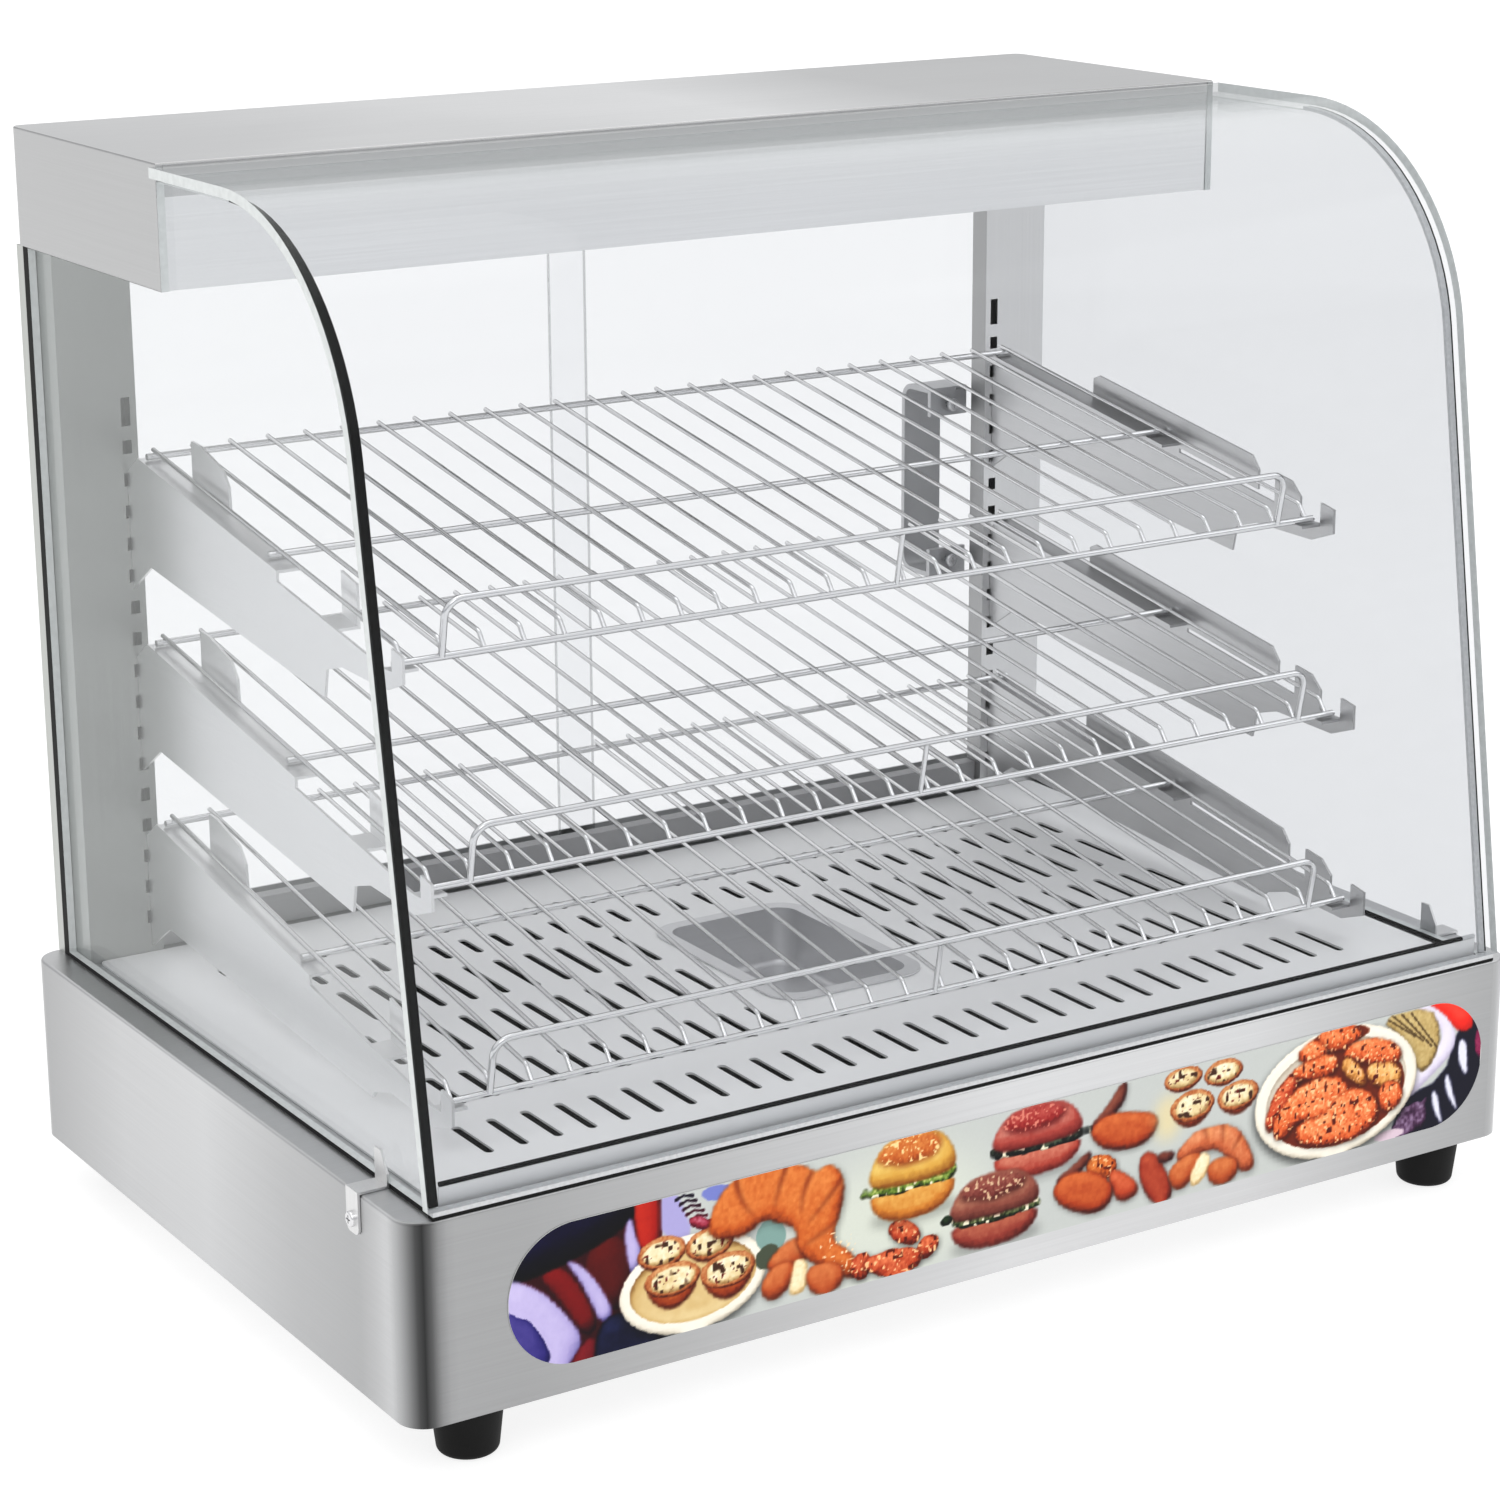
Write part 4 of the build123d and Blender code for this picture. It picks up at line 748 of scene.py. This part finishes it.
def croissant(p, arch, folds, tones, seed):
    """A bent pastry; each fold gets a dark line and a light one beside it."""
    mask = p.outline(arch, 2, 0.8, seed)
    p.shadow(mask, 2.0, 0.30)
    p.tone(mask, *tones, 4.0, (2.0, 0.14), seed)
    for fold in folds:
        for shift, colour, share in ((0, (128, 50, 22), 0.75), (2.4, (244, 178, 112), 0.45)):
            line = p.stroke(arc([(x + shift, z) for x, z in fold]), 2.6, 0.8)
            p.lay(p.soften(line, 0.8) * mask * share, colour)


def torn_bread(p, crust, crumb, seed):
    """A torn piece of bread, with its pale inside where a crumb outline is given."""
    smooth_meat(p, crust, seed, ((116, 48, 26), (196, 104, 58), (232, 162, 108)))
    if crumb:
        p.tone(p.outline(crumb, 2, 1.5, seed), (196, 164, 112), (240, 222, 182),
               (252, 244, 220), 1.5, (1.5, 0.2), seed + 1)


def paint_picture():
    """The whole printed picture, from the left end to the right."""
    p = Picture(PANEL_X, PANEL_Z, PRINT_STEP, PRINT_PAPER)
    glow = p.soften(p.oval(-70, 70, 60, 30), 12)
    p.lay(glow * 0.5, (232, 236, 220))
    banded_cloth(p)
    patterned_cloth(p)
    golden = ((112, 44, 20), (208, 114, 54), (240, 170, 104))

    plate(p, -182, 63, 40, 24.5, ((150, 112, 66), (214, 186, 132), (238, 222, 182)))
    for k, (x, z, rx, rz, drop) in enumerate([(-199, 82, 13, 8, 8), (-173, 80.5, 13, 8, 8),
                                             (-193.5, 67.5, 15, 8.5, 13), (-163, 65, 15, 9, 13)]):
        tart(p, x, z, rx, rz, drop, 100 + 10 * k)

    p.lay(p.oval(-139, 76, 8, 9, 30), (150, 178, 172))
    p.lay(p.oval(-141, 66, 7, 6, 20), (96, 104, 88))
    torn_bread(p, [(-140, 66), (-124, 74), (-114, 62), (-128, 56), (-142, 58)], None, 160)
    croissant(p, [(-175, 86), (-170, 100), (-159, 111), (-135, 112), (-120, 108), (-114, 102),
                  (-106, 106), (-98, 98), (-98, 82), (-106, 66), (-94, 58), (-86, 43), (-98, 44),
                  (-116, 57), (-125, 66), (-124, 76), (-134, 82), (-143, 86), (-152, 80),
                  (-166, 80)],
              [[(-158, 108), (-156, 96), (-148, 88)], [(-130, 110), (-135, 100), (-137, 90)],
               [(-116, 103), (-122, 95), (-122, 84)], [(-99, 96), (-108, 86), (-118, 78)],
               [(-98, 76), (-112, 70), (-122, 66)]], golden, 170)
    p.specks(p.oval(-100, 58, 14, 10, -50), 1.2, 0.14, (250, 226, 190), 175)
    torn_bread(p, [(-144, 55), (-136, 62), (-124, 60), (-128, 48), (-138, 42), (-145, 47)],
               [(-126, 62), (-118, 58), (-119, 44), (-129, 42), (-128, 52)], 180)
    torn_bread(p, [(-120, 54), (-110, 56), (-98, 52), (-98, 42), (-108, 38), (-118, 42)],
               None, 185)

    fried = ((100, 34, 22), (196, 88, 54), (236, 148, 106))
    crusty(p, [p.oval(-88, 48, 6, 7, 0, wobble=0.2), p.oval(-63, 60, 10, 6, -30, wobble=0.2),
               p.oval(-49, 49, 7, 5.5, 30, wobble=0.2), p.oval(-69, 46, 17, 7, -6, wobble=0.2)],
           fried, 200)
    sesame = (248, 222, 168)
    burger(p, -58, 66.5, 110, 25.5,
           (((150, 92, 34), (222, 178, 92), (244, 230, 160)),
            ((150, 70, 30), (206, 120, 62), (232, 170, 104)), sesame),
           ((140, 74, 26), (214, 146, 66), (240, 206, 132)),
           ((40, 46, 20), (118, 146, 64), (206, 214, 140)), 210)
    burger(p, 16.5, 72, 108.5, 27.5,
           (((120, 40, 40), (188, 92, 82), (232, 190, 172)),
            ((116, 34, 36), (172, 60, 60), (204, 110, 100)), (226, 150, 134)),
           ((110, 34, 32), (186, 88, 74), (222, 158, 136)),
           ((8, 12, 12), (34, 40, 36), (96, 112, 92)), 220)
    burger(p, -9, 40.5, 78.5, 27,
           (((96, 44, 40), (160, 98, 84), (214, 170, 140)),
            ((84, 36, 34), (140, 74, 68), (180, 120, 104)), (226, 196, 166)),
           ((88, 30, 28), (164, 78, 66), (208, 140, 112)),
           ((14, 24, 12), (70, 84, 50), (170, 180, 136)), 230)
    p.tone(p.oval(-38, 60, 3.5, 2.5, 10), (6, 16, 8), (26, 48, 28), (60, 84, 50), 1)

    dusky = ((60, 24, 26), (134, 74, 62), (180, 118, 96))
    smooth_meat(p, [(48, 90), (58, 97), (68.5, 110), (72, 108), (70, 99), (64, 93), (52, 86)],
                240, dusky)
    smooth_meat(p, [(49, 89), (60, 95), (76, 92), (91, 88), (92, 80), (82, 72), (60, 74),
                    (50, 83)], 241)
    crusty(p, [p.oval(56, 67, 10, 6.5, -20, wobble=0.2)], golden, 242)
    smooth_meat(p, [(60, 62), (66, 64), (79, 54), (80, 47), (70, 44), (64, 50)], 243, fried)
    smooth_meat(p, [(27, 66), (38, 71), (49, 78), (50, 73), (42, 66), (32, 61)], 244, dusky)
    smooth_meat(p, [(27, 64), (38, 69), (56, 64), (65, 54), (62, 45), (52, 42), (36, 48),
                    (27, 56)], 245)
    smooth_meat(p, [(80, 66), (86, 69), (93, 64), (102, 46), (101, 39), (90, 38), (81, 52)], 246,
                ((74, 24, 22), (170, 68, 46), (214, 120, 86)))
    smooth_meat(p, [(91, 66), (104, 65), (101, 60), (93, 60)], 247, dusky)

    p.lay(p.soften(p.oval(98, 84, 9, 12), 4) * 0.6, (240, 222, 170))
    for k, (x, z, rx, rz, drop) in enumerate([(107, 103, 12, 6.5, 6), (133, 101, 12.5, 7, 6),
                                             (113.5, 87, 14, 8.5, 10), (143, 86.5, 13.5, 8, 9)]):
        tart(p, x, z, rx, rz, drop, 300 + 10 * k)
    croissant(p, [(103, 63), (117, 74), (140, 72), (150, 60), (157, 44), (146, 43), (138, 54),
                  (126, 62), (106, 57)],
              [[(122, 73), (124, 66)], [(134, 73), (134, 62)], [(146, 64), (140, 56)]],
              ((126, 54, 32), (212, 126, 84), (240, 180, 138)), 340)
    torn_bread(p, [(99, 56), (112, 62), (122, 60), (118, 50), (108, 42), (100, 46)],
               [(120, 61), (127, 56), (124, 47), (115, 42), (112, 48)], 350)
    torn_bread(p, [(124, 53), (136, 55), (145, 51), (144, 42), (134, 38.5), (125, 43)], None, 355)

    slices = p.outline([(236, 109), (272, 109), (281, 92), (276, 76), (266, 71), (256, 92)], 1)
    p.tone(slices, (112, 92, 58), (196, 172, 118), (226, 208, 160), 2, (1.5, 0.2), 360)
    for k in range(4):
        p.lay(p.stroke([(238 + 7 * k, 110 - k), (262 + 6 * k, 94 - 4 * k)], 1.2) * slices * 0.8,
              (96, 76, 48))
    plate(p, 209.5, 74, 55, 35.5, ((188, 176, 160), (226, 218, 204), (244, 240, 230)))
    p.lay(p.oval(210, 71, 46, 27), (132, 56, 28))
    p.lay(p.oval(210, 104, 20, 5), (132, 56, 28))
    crisp = ((122, 46, 22), (226, 118, 66), (248, 182, 132))
    red = ((104, 36, 20), (206, 92, 56), (238, 148, 106))
    straw = ((150, 96, 44), (228, 172, 104), (250, 220, 164))

    def piece(points, seed):
        return p.outline(points, 2, 1.8, seed)
    crusty(p, [piece([(193, 106), (204, 112), (220, 110), (226, 102), (216, 96), (200, 97)], 1),
               piece([(181, 101), (192, 107), (202, 100), (200, 93), (186, 94)], 2)], crisp, 400)
    crusty(p, [piece([(161, 66), (168, 84), (184, 94), (187, 88), (176, 74), (166, 60)], 3)],
           red, 405)
    crusty(p, [piece([(178, 92), (196, 97), (210, 94), (208, 84), (192, 84), (180, 86)], 4),
               piece([(211, 96), (226, 101), (248, 94), (254, 86), (250, 80), (232, 84),
                      (216, 90)], 5)],
           crisp, 410)
    crusty(p, [piece([(228, 84), (246, 84), (255, 76), (252, 66), (240, 70), (230, 76)], 6)],
           straw, 415)
    crusty(p, [piece([(214, 93), (222, 89), (230, 78), (228, 73), (219, 78), (211, 86)], 7)],
           straw, 418)
    crusty(p, [piece([(238, 72), (252, 72), (256, 62), (248, 54), (239, 58)], 8),
               piece([(166, 66), (178, 80), (192, 84), (208, 84), (220, 74), (214, 64), (196, 60),
                      (184, 64), (176, 56), (168, 56)], 9)], crisp, 420)
    crusty(p, [piece([(182, 60), (190, 63), (200, 62), (212, 72), (222, 74), (234, 68), (240, 56),
                      (232, 47), (212, 44), (192, 47), (183, 52)], 10)], crisp, 430)
    return p


def make_print():
    """The picture as a fine colour grid that covers the panel's front."""
    low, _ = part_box("front_graphic_panel")
    picture = paint_picture()
    radius = (PANEL_Z[1] - PANEL_Z[0]) / 2
    middle_z = (PANEL_Z[0] + PANEL_Z[1]) / 2
    xs = np.arange(PANEL_X[0] + PRINT_INSET[0], PANEL_X[1], PRINT_COLUMN)
    past_end = np.maximum(np.maximum(PANEL_X[0] + radius - xs, xs - PANEL_X[1] + radius), 0)
    half = np.sqrt(np.maximum(radius ** 2 - past_end ** 2, 0)) - PRINT_INSET[1]
    rows = np.linspace(-1, 1, PRINT_ROWS)
    x = np.repeat(xs[None], len(rows), 0)
    z = middle_z + rows[:, None] * half[None]
    y = np.full(x.shape, low[1] - PRINT_LIFT)
    points = np.stack([x * MM, y, z * MM], -1).reshape(-1, 3)
    count = np.arange(len(rows) * len(xs)).reshape(len(rows), len(xs))
    faces = np.stack([count[:-1, :-1], count[:-1, 1:], count[1:, 1:], count[1:, :-1]], -1)
    mesh = bpy.data.meshes.new("front_graphic_print")
    mesh.from_pydata(points.tolist(), [], faces.reshape(-1, 4).tolist())
    tint = mesh.color_attributes.new("print", "FLOAT_COLOR", "POINT")
    tint.data.foreach_set("color", picture.sample(x, z).ravel())
    piece = bpy.data.objects.new("front_graphic_print", mesh)
    bpy.context.scene.collection.objects.link(piece)
    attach(piece, "case")
    mesh.materials.append(print_material())


def print_material():
    """Printed vinyl under a satin laminate."""
    m, nt, out = new_material("printed_laminate")
    ink = add(nt, "Attribute", attribute_name="print").outputs["Color"]
    coords = add(nt, "TexCoord").outputs["Object"]
    fibre = noise(nt, coords, 700.0, 2.0)
    deep = add(nt, "Gamma", {"Color": ink, "Gamma": 1.36}).outputs[0]
    base = scaled(nt, deep, calc(nt, "MULTIPLY_ADD", fibre, 0.06, 1.12))
    rough = calc(nt, "MULTIPLY_ADD", fibre, 0.10, 0.30)
    height = add(nt, "Bump", {"Height": fibre, "Strength": 0.05, "Distance": 0.0002}).outputs[0]
    shader = add(nt, "BsdfPrincipled", {"Base Color": base, "Roughness": rough, "Normal": height,
                                        "Specular IOR Level": 0.15})
    nt.links.new(shader.outputs[0], out.inputs[0])
    return m


def assign_materials(mats):
    """Gives every CAD node its finish, by name."""
    chosen = {
        "base_shell": "base", "roof_shell": "roof", "base_bottom_plate": "plate",
        "control_panel": "panel", "element_pan": "dark", "roof_bottom_plate": "ceiling",
        "foot_screws": "screw", "case_screws": "screw", "floor_grille": "floor",
        "water_tray": "tray",
        "heating_element_left": "element", "heating_element_right": "element",
        "element_clips": "plate", "thermostat_body": "black", "thermostat_spindle": "screw",
        "thermostat_knob": "knob", "power_switch_body": "black", "light_switch_body": "black",
        "power_rocker": "rocker", "light_rocker": "rocker", "indicator_lamp": "lens",
        "cable_gland": "black", "post_left": "post_painted_shade", "post_right": "post_right",
        "side_glass_left": "side_glass", "side_glass_right": "side_glass",
        "front_glass": "front_glass", "glass_clip_left": "clip", "glass_clip_right": "clip",
        "lamp_tube": "lamp", "lamp_holders": "white", "side_glass_seals": "seal",
        "front_glass_strip": "strip", "front_glass_seals": "seal", "glass_clamp_strip": "strip",
        "door_track_bottom": "track", "door_track_top": "track", "rear_sill": "sill",
        "front_graphic_panel": "white",
    }
    for name, node in NODES.items():
        if name in chosen:
            key = chosen[name]
        elif name.startswith("foot_"):
            key = "rubber"
        elif name.startswith("shelf_bracket"):
            key = "bracket_left" if name.endswith("left") else "bracket_painted_shade"
        elif name.startswith("shelf_"):
            key = "wire"
        elif name.endswith("_glass"):
            key = "door_glass"
        elif name.endswith("_handle"):
            key = "handle"
        elif name.endswith("_handle_screws"):
            key = "screw"
        else:
            key = "black"
        node.data.materials.clear()
        node.data.materials.append(mats[key])


make_camera()
make_studio()
make_floor()
assign_materials(make_materials())
make_print()
